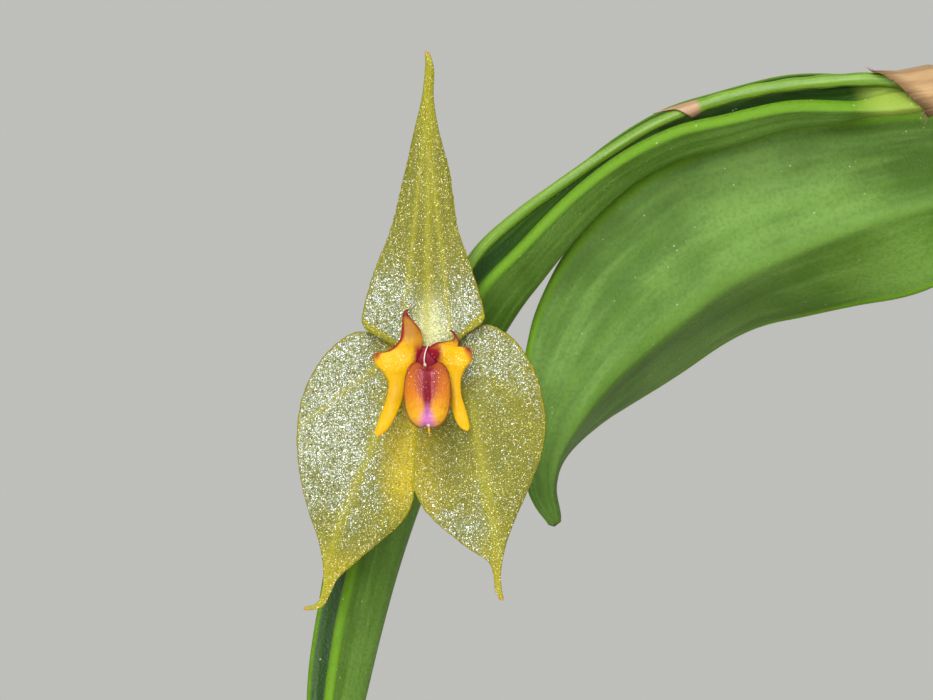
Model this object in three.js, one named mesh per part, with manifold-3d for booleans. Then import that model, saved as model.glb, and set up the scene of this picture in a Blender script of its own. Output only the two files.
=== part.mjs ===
// A miniature Lepanthes orchid in a plain clay pot, in millimetres, +Z up.
// The origin is the middle of the pot's flat base. The open flower faces -Y,
// over the left side of the pot, and its leaf arches behind it.
//
// The pot is filled with sphagnum. A short rhizome with roots lies inside the moss,
// and each ramicaul (a slender stem in papery trumpet sheaths) rises from it through
// a plain hole in the moss and carries one folded leaf in its top sheath.
// The flower hangs on a stalk that lies in the channel of the first leaf.

import * as THREE from "three";
import { mergeVertices } from "three/addons/utils/BufferGeometryUtils.js";
import Module from "manifold-3d";

// Driving sizes
const POT_HEIGHT = 46;
const POT_RIM_RADIUS = 26;
const POT_RIM_BAND = 8;
const POT_BODY_RADIUS = 23.6;
const POT_BASE_RADIUS = 17.5;
const POT_WALL = 2.8;
const POT_FLOOR = 3.5;
const POT_FILLET = 2; // slope between the wall and the floor, inside
const POT_SIDES = 36;
const DRAIN_RADIUS = 1.7;
const DRAIN_CIRCLE = 9;
const DRAIN_COUNT = 4;

const GAP = 0.3; // room between a piece and the piece that carries it
const MOSS_RIM_LEVEL = 41.4;
const MOSS_DOME = 3;
const MOSS_LUMP = 0.7;
const MOSS_TOP = MOSS_RIM_LEVEL + MOSS_DOME;
const MOSS_FILLET = 2.4;
const RHIZOME_Z = 34.8;
const RHIZOME_RADIUS = 1;
const RHIZOME_KNOB = 1.5;
const STEM_FOOT_Z = RHIZOME_Z + RHIZOME_KNOB + GAP;
const ROOT_RADIUS = 0.55;
const STEM_HOLE_RADIUS = 1.06;

const STEM_STRAIGHT = 1.2; // a stem rises this far out of the moss before it bends
const STEM_BARE_FOOT = 4; // below its first sheath
const SHEATH_RADIUS = 0.68;
const SHEATH_WAIST = 0.06; // a sheath starts this much narrower
const SHEATH_MOUTH_RADIUS = 1.08;
const SHEATH_MOUTH_SLANT = 0.45;
const SHEATH_LENGTH = 9;
const CUP_RADIUS = 0.82;
const CUP_LENGTH = 1.8; // the last sheath reaches this far past the leaf's base
const LEAF_SEAT = 0.04; // clearance that centres the leaf's stalk in the cup
const LEAF_THICKNESS = 0.7;
const KEEL_RADIUS = 0.5;
const SEPAL_THICKNESS = 0.6;
const STALK_RADIUS = 0.25;
const BRACT_LENGTH = 0.8;
const PEDICEL_GAP = 0.2; // between the stalk's end, inside the bract, and the pedicel
const OVARY_LENGTH = 1.3;

const LIP_HALF = new THREE.Vector3(0.83, 0.5, 1.2);
const LIP_DEPTH = -2.5;
const LIP_NARROWING = 0.14;
const GROOVE_WIDTH = 0.16;
const GROOVE_DEPTH = 0.28;
const NOTCH_DEPTH = 0.1;
const APPENDIX = 0.34;

// The middle of the flower's lip. Sizes of the flower and of the two leaves
// beside it are given from this point: x right, y away from the viewer, z up.
const FLOWER = new THREE.Vector3(-34, -9, 78);

const wasm = await Module();
wasm.setup();

const vec = (x, y, z) => new THREE.Vector3(x, y, z);
const radians = THREE.MathUtils.degToRad;

function curveThrough(points) {
  const curve = new THREE.CatmullRomCurve3(points, false, "catmullrom", 0.5);
  curve.arcLengthDivisions = 400;
  return curve;
}

// A smooth function of t through [t, value] pairs.
function profile(pairs) {
  const slope = (i) => {
    const a = pairs[Math.max(i - 1, 0)];
    const b = pairs[Math.min(i + 1, pairs.length - 1)];
    return (b[1] - a[1]) / (b[0] - a[0]);
  };
  return (t) => {
    let i = 0;
    while (i < pairs.length - 2 && t > pairs[i + 1][0]) i += 1;
    const [t0, v0] = pairs[i];
    const [t1, v1] = pairs[i + 1];
    const h = t1 - t0;
    const s = Math.min(Math.max((t - t0) / h, 0), 1);
    const s2 = s * s;
    const s3 = s2 * s;
    return (
      v0 * (2 * s3 - 3 * s2 + 1) +
      slope(i) * h * (s3 - 2 * s2 + s) +
      v1 * (3 * s2 - 2 * s3) +
      slope(i + 1) * h * (s3 - s2)
    );
  };
}

// A closed geometry from a list of points and a list of triangles.
function geometryOf(points, triangles) {
  const geometry = new THREE.BufferGeometry();
  const numbers = points.flatMap((p) => [p.x, p.y, p.z]);
  geometry.setAttribute("position", new THREE.Float32BufferAttribute(numbers, 3));
  geometry.setIndex(triangles);
  geometry.computeVertexNormals();
  return geometry;
}

function solidOf(geometry) {
  const bare = geometry.clone();
  bare.deleteAttribute("normal");
  bare.deleteAttribute("uv");
  const merged = mergeVertices(bare, 1e-4);
  return new wasm.Manifold(
    new wasm.Mesh({
      numProp: 3,
      vertProperties: merged.getAttribute("position").array,
      triVerts: new Uint32Array(merged.index.array),
    }),
  );
}

function geometryOfSolid(solid) {
  const mesh = solid.getMesh();
  const geometry = new THREE.BufferGeometry();
  geometry.setAttribute("position", new THREE.BufferAttribute(new Float32Array(mesh.vertProperties), 3));
  geometry.setIndex(new THREE.BufferAttribute(new Uint32Array(mesh.triVerts), 1));
  geometry.computeVertexNormals();
  return geometry;
}

// A closed sheet of even thickness about a surface(t, q), with t from 0 to 1 and q from -1 to 1.
// Both faces are split into triangles alike. The front face is on the side of dP/dt x dP/dq.
function sheet(surface, thickness, alongCount, acrossCount) {
  const row = acrossCount + 1;
  const perFace = (alongCount + 1) * row;
  const front = [];
  const back = [];
  const step = 0.004;
  for (let i = 0; i <= alongCount; i += 1) {
    for (let j = 0; j <= acrossCount; j += 1) {
      const t = i / alongCount;
      const q = (2 * j) / acrossCount - 1;
      const alongT = surface(Math.min(t + step, 1), q).sub(surface(Math.max(t - step, 0), q));
      const acrossQ = surface(t, Math.min(q + step, 1)).sub(surface(t, Math.max(q - step, -1)));
      const half = alongT.cross(acrossQ).setLength(thickness / 2);
      front.push(surface(t, q).add(half));
      back.push(surface(t, q).sub(half));
    }
  }
  const triangles = [];
  const quad = (a, b, c, d) => triangles.push(a, b, c, a, c, d);
  for (let i = 0; i < alongCount; i += 1) {
    for (let j = 0; j < acrossCount; j += 1) {
      const a = i * row + j;
      quad(a, a + row, a + row + 1, a + 1);
      triangles.push(perFace + a, perFace + a + row + 1, perFace + a + row);
      triangles.push(perFace + a, perFace + a + 1, perFace + a + row + 1);
    }
  }
  for (let i = 0; i < alongCount; i += 1) {
    const left = i * row;
    const right = left + acrossCount;
    quad(left + row, left, perFace + left, perFace + left + row);
    quad(right, right + row, perFace + right + row, perFace + right);
  }
  for (let j = 0; j < acrossCount; j += 1) {
    const end = alongCount * row + j;
    quad(j, j + 1, perFace + j + 1, perFace + j);
    quad(end + 1, end, perFace + end, perFace + end + 1);
  }
  return geometryOf([...front, ...back], triangles);
}

// A closed tube along a curve. Each ring is { at: mm along the curve, radius, slant },
// where slant tips the ring's outer side forward. Rings may step back inside a mouth.
function ringTube(curve, rings, sides) {
  const length = curve.getLength();
  const samples = 200;
  const frames = [];
  let across = vec(0, 1, 0);
  for (let i = 0; i <= samples; i += 1) {
    const tangent = curve.getTangentAt(i / samples);
    across = across.clone().addScaledVector(tangent, -across.dot(tangent)).normalize();
    frames.push({ tangent, across, up: tangent.clone().cross(across) });
  }
  const points = [];
  for (const { at, radius, slant = 0 } of rings) {
    const u = Math.min(Math.max(at / length, 0), 1);
    const { tangent, across: side, up } = frames[Math.round(u * samples)];
    const centre = curve.getPointAt(u);
    for (let k = 0; k < sides; k += 1) {
      const angle = (2 * Math.PI * k) / sides;
      points.push(
        centre
          .clone()
          .addScaledVector(side, radius * Math.cos(angle))
          .addScaledVector(up, radius * Math.sin(angle))
          .addScaledVector(tangent, slant * Math.sin(angle)),
      );
    }
  }
  const startCap = points.length;
  const endCap = startCap + 1;
  const middleOf = (from) =>
    points.slice(from, from + sides).reduce((sum, p) => sum.add(p), vec(0, 0, 0)).divideScalar(sides);
  const last = (rings.length - 1) * sides;
  points.push(middleOf(0), middleOf(last));
  const triangles = [];
  for (let k = 0; k < sides; k += 1) {
    const next = (k + 1) % sides;
    for (let i = 0; i < rings.length - 1; i += 1) {
      const a = i * sides + k;
      const b = i * sides + next;
      triangles.push(a, b, b + sides, a, b + sides, a + sides);
    }
    triangles.push(startCap, next, k);
    triangles.push(endCap, last + k, last + next);
  }
  return geometryOf(points, triangles);
}

// Leaves: a blade folded along its keel, with points along the keel's outer edge.
// roll tips the open side of the fold from upright towards the side vector,
// and fold is the angle of each half from the middle plane, both in degrees.
function leafShape({ points, side, width, fold, roll }) {
  const curve = curveThrough(points);
  const frame = (t) => {
    const tangent = curve.getTangentAt(t);
    const upright = tangent.clone().cross(side).normalize();
    const lateral = upright.clone().cross(tangent).normalize();
    const tilt = radians(roll(t));
    const open = upright.multiplyScalar(Math.cos(tilt)).addScaledVector(lateral, Math.sin(tilt));
    return { origin: curve.getPointAt(t), open, across: open.clone().cross(tangent) };
  };
  const surface = (t, q) => {
    const { origin, open, across } = frame(t);
    origin.addScaledVector(open, LEAF_THICKNESS / 2);
    const run = Math.abs(q) * width(t);
    const angle = radians(fold(t));
    const arcEnd = KEEL_RADIUS * (Math.PI / 2 - angle);
    const bend = Math.min(run, arcEnd) / KEEL_RADIUS;
    const straight = Math.max(run - arcEnd, 0);
    const out = KEEL_RADIUS * Math.sin(bend) + straight * Math.sin(angle);
    const rise = KEEL_RADIUS * (1 - Math.cos(bend)) + straight * Math.cos(angle);
    return origin.addScaledVector(across, Math.sign(q) * out).addScaledVector(open, rise);
  };
  return { curve, frame, surface };
}

// Ramicauls: a stem in overlapping papery sheaths with flared, slanting mouths.
// The last sheath is a cup that holds the leaf's stalk.
function ramicaul(foot, leafBase, leafDirection, bow) {
  const length = leafBase.distanceTo(foot);
  const alongLeaf = (mm) => leafBase.clone().addScaledVector(leafDirection, mm);
  const out = foot.clone().setZ(MOSS_TOP + STEM_STRAIGHT);
  const rise = new THREE.CubicBezierCurve3(
    out,
    out.clone().add(vec(bow.x, bow.y, 0.45 * length)),
    alongLeaf(-0.3 * length),
    alongLeaf(-1),
  );
  const curve = curveThrough([
    foot,
    foot.clone().setZ(MOSS_RIM_LEVEL),
    ...rise.getPoints(7),
    alongLeaf(0.4),
    alongLeaf(CUP_LENGTH),
  ]);
  const stop = curve.getLength() - CUP_LENGTH;
  const sheaths = Math.round((stop - STEM_BARE_FOOT) / SHEATH_LENGTH);
  const step = (stop - STEM_BARE_FOOT) / sheaths;
  const waist = SHEATH_RADIUS - SHEATH_WAIST;
  const rings = [{ at: 0, radius: waist }];
  for (let i = 0; i < sheaths; i += 1) {
    const start = STEM_BARE_FOOT + i * step;
    const mouth = start + step;
    rings.push({ at: start, radius: waist });
    rings.push({ at: start + 0.36 * step, radius: SHEATH_RADIUS - SHEATH_WAIST / 2 });
    rings.push({ at: start + 0.72 * step, radius: SHEATH_RADIUS });
    if (i < sheaths - 1) {
      rings.push({ at: mouth, radius: SHEATH_MOUTH_RADIUS, slant: SHEATH_MOUTH_SLANT });
      rings.push({ at: mouth - 0.5, radius: waist, slant: 0.2 });
    }
  }
  const lip = SHEATH_MOUTH_SLANT;
  rings.push({ at: stop - GAP, radius: SHEATH_MOUTH_RADIUS - SHEATH_WAIST });
  rings.push({ at: stop + CUP_LENGTH - lip, radius: SHEATH_MOUTH_RADIUS + 0.08, slant: lip });
  rings.push({ at: stop + CUP_LENGTH - lip - 0.15, radius: CUP_RADIUS + 0.05, slant: lip });
  rings.push({ at: stop - GAP, radius: CUP_RADIUS });
  return ringTube(curve, rings, 6);
}

// Shoots. The first two are the leaves beside the flower, and their spines
// are points from the lip's middle; the others arch round the rest of the pot.
const fromFlower = (points) => points.map(([x, y, z]) => vec(x, y, z).add(FLOWER));
const TOWARDS_VIEWER = vec(0, -1, 0);

const PHOTO_SHOOTS = [
  {
    foot: [-7, -3],
    bow: [1.5, 0],
    points: fromFlower([
      [18.4, 5.2, 10.75],
      [16.8, 5.2, 10.55],
      [15.5, 5.4, 10.1],
      [13.3, 5.7, 9.85],
      [11, 6, 9.2],
      [9.2, 6.1, 8.7],
      [7.4, 6.2, 7.7],
      [5.6, 6.2, 6.05],
      [4.1, 6.2, 4.2],
      [2.9, 6.2, 2.55],
      [1, 6.1, -0.7],
      [-0.55, 5.8, -4.5],
      [-1.75, 5.4, -8.5],
      [-2.6, 5, -11.9],
      [-3.2, 4.7, -15],
      [-3.5, 4.5, -17.8],
    ]),
    width: profile([
      [0, 0.25],
      [0.045, 0.3],
      [0.08, 0.9],
      [0.14, 1.4],
      [0.21, 1.75],
      [0.31, 1.8],
      [0.38, 2.1],
      [0.46, 2.55],
      [0.6, 2.7],
      [0.72, 2.65],
      [0.88, 1.7],
      [1, 0.2],
    ]),
    fold: profile([[0, 45], [0.38, 44], [0.46, 39], [0.72, 30], [1, 28]]),
    roll: profile([[0, 14], [0.21, 15], [0.38, 10], [0.46, 12], [0.72, 18], [1, 19]]),
  },
  {
    foot: [0.5, 3.5],
    bow: [2.5, 0],
    points: fromFlower([
      [28.5, 9, 9],
      [26.6, 8.9, 9],
      [23.6, 8.6, 8.5],
      [18.8, 8.2, 7.1],
      [15.6, 8, 6.1],
      [13.1, 8, 5.1],
      [10.6, 8, 3.75],
      [7.7, 7.8, 1.4],
      [6.3, 7.6, 0],
      [4.9, 7.4, -2],
      [4.5, 7.2, -3.4],
      [4.8, 7, -4.9],
    ]),
    width: profile([
      [0, 0.25],
      [0.06, 0.3],
      [0.17, 1.9],
      [0.33, 3.4],
      [0.45, 4.3],
      [0.6, 5],
      [0.74, 4.5],
      [0.85, 2.7],
      [0.94, 0.95],
      [1, 0.2],
    ]),
    fold: profile([[0, 40], [0.15, 68], [0.33, 75], [0.45, 66], [0.6, 57], [0.8, 54], [1, 42]]),
    roll: profile([[0, -10], [0.15, -60], [0.33, -75], [0.45, -66], [0.6, -57], [0.8, -54], [1, -42]]),
  },
];

// foot, azimuth of the arch from +X, reach and height of the stem, start and end pitch
// of the leaf below the horizontal, its length, half width, fold and roll
const OTHER_SHOOTS = [
  { foot: [5.5, -3.5], azimuth: -22, reach: 15, height: 38, pitch: [4, 62],
    length: 37, half: 4.6, fold: 58, roll: -8 },
  { foot: [7.5, 3], azimuth: 18, reach: 13, height: 47, pitch: [-6, 48],
    length: 40, half: 4.9, fold: 62, roll: 10 },
  { foot: [4, 8], azimuth: 62, reach: 12, height: 40, pitch: [0, 58],
    length: 36, half: 4.4, fold: 55, roll: -12 },
  { foot: [0.5, -8.5], azimuth: -68, reach: 13, height: 27, pitch: [6, 66],
    length: 33, half: 4.2, fold: 56, roll: 12 },
  { foot: [-4.5, 8.5], azimuth: 128, reach: 14, height: 18, pitch: [4, 52],
    length: 28, half: 3.7, fold: 60, roll: 6 },
  { foot: [-11, -6.5], azimuth: 196, reach: 8, height: 13, pitch: [-14, 44],
    length: 24, half: 3.4, fold: 57, roll: -10 },
  { foot: [11.5, -1], azimuth: -4, reach: 9, height: 24, pitch: [-14, 50],
    length: 27, half: 3.6, fold: 54, roll: 16 },
  { foot: [-0.5, 12.5], azimuth: 94, reach: 9, height: 30, pitch: [-4, 56],
    length: 32, half: 4.1, fold: 60, roll: -6 },
  { foot: [6.5, -9.5], azimuth: -44, reach: 8, height: 16, pitch: [-16, 42],
    length: 25, half: 3.5, fold: 55, roll: 8 },
  { foot: [-6, -11], azimuth: 236, reach: 7, height: 16, pitch: [-10, 50],
    length: 26, half: 3.5, fold: 58, roll: 10 },
];

// The half width of an arching leaf along it: its narrow stalk in mm, then shares of the widest
const STALK_HALF_WIDTH = [[0, 0.25], [0.06, 0.3]];
const HALF_WIDTH_SHARE = [[0.2, 0.55], [0.36, 0.88], [0.54, 1], [0.74, 0.86], [0.9, 0.46], [1, 0.05]];

function archingShoot({ foot, azimuth, reach, height, pitch, length, half, fold, roll }) {
  const turn = radians(azimuth);
  const outward = vec(Math.cos(turn), Math.sin(turn), 0);
  const base = vec(foot[0], foot[1], MOSS_TOP + height).addScaledVector(outward, reach);
  const points = [base];
  const steps = 8;
  for (let i = 0; i < steps; i += 1) {
    const down = radians(pitch[0] + ((pitch[1] - pitch[0]) * (i + 0.5)) / steps);
    const last = points[points.length - 1];
    points.push(
      last
        .clone()
        .addScaledVector(outward, (Math.cos(down) * length) / steps)
        .add(vec(0, 0, (-Math.sin(down) * length) / steps)),
    );
  }
  const blade = HALF_WIDTH_SHARE.map(([t, share]) => [t, Math.max(share * half, 0.2)]);
  return {
    foot,
    bow: [0.2 * reach * outward.x, 0.2 * reach * outward.y],
    points,
    side: vec(outward.y, -outward.x, 0),
    width: profile([...STALK_HALF_WIDTH, ...blade]),
    fold: () => fold,
    roll: () => roll,
  };
}

const shoots = [
  ...PHOTO_SHOOTS.map((shoot) => ({ ...shoot, side: TOWARDS_VIEWER })),
  ...OTHER_SHOOTS.map(archingShoot),
];

// Pot, moss and what lies inside the moss
function lathe(outline, sides) {
  const geometry = new THREE.LatheGeometry(outline.map(([r, z]) => new THREE.Vector2(r, z)), sides);
  return geometry.rotateX(Math.PI / 2);
}

function cylinderAt(x, y, low, high, radius, sides) {
  const geometry = new THREE.CylinderGeometry(radius, radius, high - low, sides);
  return solidOf(geometry.rotateX(Math.PI / 2).translate(x, y, (low + high) / 2));
}

function makePot() {
  const bandFoot = POT_HEIGHT - POT_RIM_BAND;
  const outline = [
    [0, 0],
    [POT_BASE_RADIUS - 1, 0],
    [POT_BASE_RADIUS, 1],
    [POT_BODY_RADIUS, bandFoot],
    [POT_RIM_RADIUS - 1.2, bandFoot + 0.6],
    [POT_RIM_RADIUS - 0.4, bandFoot + 1.8],
    [POT_RIM_RADIUS, POT_HEIGHT - 1.5],
    [POT_RIM_RADIUS - 0.6, POT_HEIGHT - 0.4],
    [POT_RIM_RADIUS - 1.6, POT_HEIGHT],
    [POT_RIM_RADIUS - 3.2, POT_HEIGHT - 0.3],
    [innerRadius(POT_HEIGHT - 2), POT_HEIGHT - 2],
    [innerRadius(POT_FLOOR + POT_FILLET), POT_FLOOR + POT_FILLET],
    [innerRadius(POT_FLOOR) - POT_FILLET, POT_FLOOR],
    [0, POT_FLOOR],
  ];
  let pot = solidOf(lathe(outline, POT_SIDES));
  for (let i = 0; i < DRAIN_COUNT; i += 1) {
    const angle = (2 * Math.PI * (i + 0.5)) / DRAIN_COUNT;
    const x = DRAIN_CIRCLE * Math.cos(angle);
    const y = DRAIN_CIRCLE * Math.sin(angle);
    pot = pot.subtract(cylinderAt(x, y, -1, POT_FLOOR + 1, DRAIN_RADIUS, 10));
  }
  return geometryOfSolid(pot);
}

// Inside radius of the pot's wall at a height
function innerRadius(z) {
  const share = z / (POT_HEIGHT - POT_RIM_BAND);
  return POT_BASE_RADIUS - POT_WALL + (POT_BODY_RADIUS - POT_BASE_RADIUS) * share;
}

// Height of the moss at a place: a low dome with tufts standing out of it
function mossHeight(x, y) {
  const share = Math.hypot(x, y) / innerRadius(MOSS_RIM_LEVEL);
  const tufts = Math.sin(0.55 * x + 1.1) * Math.sin(0.6 * y - 0.4) + 0.6 * Math.sin(0.9 * x - 0.5 * y + 2);
  return MOSS_RIM_LEVEL + MOSS_DOME * (1 - share * share) + MOSS_LUMP * tufts;
}

function mossBlock() {
  const rounds = 7;
  const sides = POT_SIDES;
  const top = innerRadius(MOSS_RIM_LEVEL) - GAP;
  const points = [vec(0, 0, mossHeight(0, 0))];
  const ring = (radius, height) => {
    for (let k = 0; k < sides; k += 1) {
      const angle = (2 * Math.PI * k) / sides;
      const x = radius * Math.cos(angle);
      const y = radius * Math.sin(angle);
      points.push(vec(x, y, height(x, y)));
    }
  };
  for (let i = 1; i <= rounds; i += 1) ring((top * i) / rounds, mossHeight);
  ring(innerRadius(POT_FLOOR + MOSS_FILLET) - GAP, () => POT_FLOOR + MOSS_FILLET);
  ring(innerRadius(POT_FLOOR) - MOSS_FILLET - GAP, () => POT_FLOOR + GAP);
  points.push(vec(0, 0, POT_FLOOR + GAP));
  const triangles = [];
  const rings = rounds + 2;
  const start = (i) => 1 + i * sides;
  for (let k = 0; k < sides; k += 1) {
    const next = (k + 1) % sides;
    triangles.push(0, start(0) + k, start(0) + next);
    for (let i = 0; i < rings - 1; i += 1) {
      triangles.push(start(i) + k, start(i + 1) + k, start(i + 1) + next);
      triangles.push(start(i) + k, start(i + 1) + next, start(i) + next);
    }
    triangles.push(points.length - 1, start(rings - 1) + next, start(rings - 1) + k);
  }
  return solidOf(geometryOf(points, triangles));
}

// The rhizome creeps from foot to foot under the stems. It is swollen under each,
// and from every other swelling a root wanders down.
const RHIZOME_ORDER = [7, 11, 5, 10, 2, 8, 3, 4, 9, 6, 1, 0];
const ROOT_STEP = 6;
const ROOT_STEPS = 4;
const ROOT_WANDER = 1.2;

function rhizomeSolid(margin) {
  const feet = RHIZOME_ORDER.map((index) => vec(shoots[index].foot[0], shoots[index].foot[1], RHIZOME_Z));
  const pieces = [];
  feet.forEach((foot, i) => {
    const knob = new THREE.IcosahedronGeometry(RHIZOME_KNOB + margin, 0);
    pieces.push(solidOf(knob.translate(foot.x, foot.y, foot.z)));

    if (i > 0) {
      const link = new THREE.LineCurve3(feet[i - 1], foot);
      const ends = [0, link.getLength()].map((at) => ({ at, radius: RHIZOME_RADIUS + margin }));
      pieces.push(solidOf(ringTube(link, ends, 5)));
    }

    if (i % 2 === 0) {
      const heading = 2.4 * i + 0.7;
      const rootPoint = (s) => {
        const inward = 1 - 0.1 * s;
        const wander = s > 0 ? ROOT_WANDER : 0;
        return vec(
          foot.x * inward + Math.cos(heading) * s + wander * Math.sin(1.7 * s + i),
          foot.y * inward + Math.sin(heading) * s + wander * Math.sin(1.7 * s + 2 + i),
          foot.z - ROOT_STEP * s - (s === ROOT_STEPS ? margin : 0),
        );
      };
      const root = curveThrough(Array.from({ length: ROOT_STEPS + 1 }, (_, s) => rootPoint(s)));
      const run = root.getLength();
      const taper = [0, 0.33, 0.67, 1].map((u) => ({
        at: u * run,
        radius: ROOT_RADIUS - 0.15 * u + margin,
      }));
      pieces.push(solidOf(ringTube(root, taper, 4)));
    }
  });
  return pieces.reduce((whole, piece) => whole.add(piece));
}

function makeMoss() {
  let moss = mossBlock().subtract(rhizomeSolid(GAP));
  for (const { foot } of shoots) {
    const [x, y] = foot;
    moss = moss.subtract(cylinderAt(x, y, STEM_FOOT_Z - 0.6, POT_HEIGHT + 4, STEM_HOLE_RADIUS, 6));
  }
  return geometryOfSolid(moss);
}

// Flower. Each petal or sepal lies between two edges, given as pairs of [x, z]
// points from its base (or upper tip) to its tip; depth(t, q) is y, towards the viewer negative.
function edgeSheet({ left, right, depth, along, across, thickness = SEPAL_THICKNESS }) {
  const leftCurve = curveThrough(left.map(([x, z]) => vec(x, 0, z)));
  const rightCurve = curveThrough(right.map(([x, z]) => vec(x, 0, z)));
  const surface = (t, q) => {
    const point = leftCurve.getPoint(t).lerp(rightCurve.getPoint(t), (q + 1) / 2);
    point.y = depth(t, q);
    return point.add(FLOWER);
  };
  return sheet(surface, thickness, along, across);
}

const PETAL_DEPTH = -1.6;
const lateralDepth = (t, q) => 0.06 * q * q * Math.min(5 * t, 1) * (1 - t) + 0.15 * t * t;

const BLOOM = {
  dorsal_sepal: {
    left: [
      [-0.42, 1.15], [-1.3, 1.8], [-2.26, 2.4], [-2.28, 3.1], [-1.9, 4.45], [-1.3, 6],
      [-0.84, 7.9], [-0.5, 9.4], [-0.22, 10.6], [-0.1, 11.7], [-0.12, 12.25],
    ],
    right: [
      [0.45, 1.15], [1.25, 2.05], [1.95, 2.6], [1.98, 3.1], [1.57, 4.5], [1.06, 6], [0.79, 7.9],
      [0.4, 9.4], [0.21, 10.6], [0.22, 11.6], [0.04, 12.27],
    ],
    depth: (t, q) => -0.84 + 0.35 * t + 0.2 * q * q * (1 - t),
    along: 17,
    across: 4,
    colour: 0xb0b060,
  },
  left_sepal: {
    left: [
      [-0.4, 0.7], [-1.3, 1.82], [-2.3, 2.28], [-3.2, 1.9], [-3.97, 1.04], [-4.5, -0.12],
      [-4.69, -1.5], [-4.58, -2.85], [-4.28, -4.15], [-3.93, -5.16], [-3.75, -6.2], [-3.8, -7],
      [-4, -7.45], [-4.46, -7.58],
    ],
    right: [
      [-0.26, 0.1], [-0.34, -0.46], [-0.43, -1.04], [-0.48, -1.55], [-0.53, -2.15], [-0.56, -2.85],
      [-0.58, -3.8], [-0.99, -4.58], [-1.8, -5.32], [-2.6, -6], [-3.2, -6.55], [-3.48, -7.08],
      [-3.78, -7.58], [-4.44, -7.72],
    ],
    depth: lateralDepth,
    along: 17,
    across: 4,
    colour: 0xa9a85c,
  },
  right_sepal: {
    left: [
      [0.18, 0.1], [0, -0.46], [-0.19, -0.96], [-0.28, -1.46], [-0.38, -2.04], [-0.4, -2.6],
      [-0.36, -3.4], [0.0, -4.16], [0.64, -4.86], [1.5, -5.52], [2.14, -5.96], [2.33, -6.4],
      [2.39, -6.96], [2.57, -7.36],
    ],
    right: [
      [0.34, 0.7], [1.14, 1.9], [1.95, 2.5], [2.77, 2.24], [3.46, 1.5], [3.96, 0.5], [4.21, -0.9],
      [4.05, -2.14], [3.62, -3.3], [3.15, -4.38], [2.79, -5.36], [2.61, -6.3], [2.63, -6.9],
      [2.73, -7.34],
    ],
    depth: lateralDepth,
    along: 17,
    across: 4,
    colour: 0xa3a556,
  },
  left_petal: {
    left: [
      [-0.7, 3.08], [-0.86, 2.82], [-0.9, 2.43], [-1, 1.96], [-1.39, 1.6], [-1.86, 1.48],
      [-1.86, 1.14], [-1.6, 0.82], [-1.38, 0.46], [-1.46, -0.11], [-1.64, -0.64], [-1.82, -1.1],
      [-1.88, -1.43],
    ],
    right: [
      [-0.6, 3.06], [-0.54, 2.75], [-0.3, 2.43], [-0.18, 2.07], [-0.2, 1.64], [-0.36, 1.28],
      [-0.6, 1], [-0.75, 0.64], [-0.82, 0.29], [-0.91, -0.18], [-1.07, -0.61], [-1.36, -1.14],
      [-1.74, -1.5],
    ],
    depth: () => PETAL_DEPTH,
    along: 14,
    across: 3,
    colour: 0xe8a828,
  },
  right_petal: {
    left: [
      [0.72, 2.36], [0.85, 2.2], [0.82, 2], [0.5, 1.92], [0.14, 1.82], [0.1, 1.54], [0.36, 1.21],
      [0.57, 0.93], [0.75, 0.5], [0.78, -0.04], [0.86, -0.57], [1.04, -1.07], [1.3, -1.36],
    ],
    right: [
      [0.8, 2.38], [1.02, 2.2], [1.13, 1.98], [1.14, 1.8], [1.34, 1.68], [1.58, 1.48], [1.57, 1.21],
      [1.32, 0.89], [1.18, 0.54], [1.21, 0], [1.36, -0.5], [1.47, -0.96], [1.54, -1.25],
    ],
    depth: () => PETAL_DEPTH,
    along: 14,
    across: 3,
    colour: 0xe8a828,
  },
};

// The lip: two fleshy blades pressed together over the column, with a groove between them,
// a notch above and a small awl-like appendix below.
function makeLip() {
  const geometry = new THREE.SphereGeometry(1, 16, 10).rotateX(Math.PI / 2);
  const position = geometry.getAttribute("position");
  for (let i = 0; i < position.count; i += 1) {
    const p = new THREE.Vector3().fromBufferAttribute(position, i);
    const groove = Math.exp(-((p.x / GROOVE_WIDTH) ** 2));
    const narrowing = 1 - LIP_NARROWING * Math.max(-p.z, 0);
    const front = GROOVE_DEPTH * groove * (1 - p.z * p.z) * Math.max(-p.y, 0);
    const appendix = p.z < -0.995 ? APPENDIX : 0;
    const notch = p.z > 0.9 ? NOTCH_DEPTH * groove : 0;
    position.setXYZ(
      i,
      LIP_HALF.x * p.x * narrowing,
      LIP_DEPTH + LIP_HALF.y * (p.y + front),
      LIP_HALF.z * (p.z - appendix - notch),
    );
  }
  return geometryOfSolid(solidOf(geometry.translate(FLOWER.x, FLOWER.y, FLOWER.z)));
}

// The column stands between the petals, from the sepals' base to the back of the lip.
function makeColumn() {
  const path = curveThrough(fromFlower([[0, -0.42, 0.62], [0, -1, 0.55], [0, -1.82, 0.4]]));
  const length = path.getLength();
  const rings = [
    { at: 0, radius: 0.3 },
    { at: 0.5 * length, radius: 0.3 },
    { at: 0.75 * length, radius: 0.36 },
    { at: length, radius: 0.24 },
  ];
  return ringTube(path, rings, 8);
}

// The flower stalk lies in the channel of the first leaf as far as a papery bract,
// and its pedicel then comes forward over the leaf's edge to the back of the flower.
const STALK_POINTS = fromFlower([
  [15.9, 5.2, 11.55],
  [13.7, 5.4, 11.4],
  [11.8, 5.6, 11.1],
  [10, 5.7, 10.6],
  [8.15, 5.8, 9.85],
  [6.3, 5.8, 8.7],
  [4.8, 5.6, 7.65],
  [3.35, 5.2, 6.6],
  [1.9, 4.5, 5.3],
  [0.95, 3.5, 3.8],
  [0.3, 2.5, 2.4],
  [0.02, 1.5, 1.2],
  [0, 0.55, 0.55],
]);
const BRACT_SHARE = 0.28; // how far along the whole stalk the bract's foot is

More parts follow.
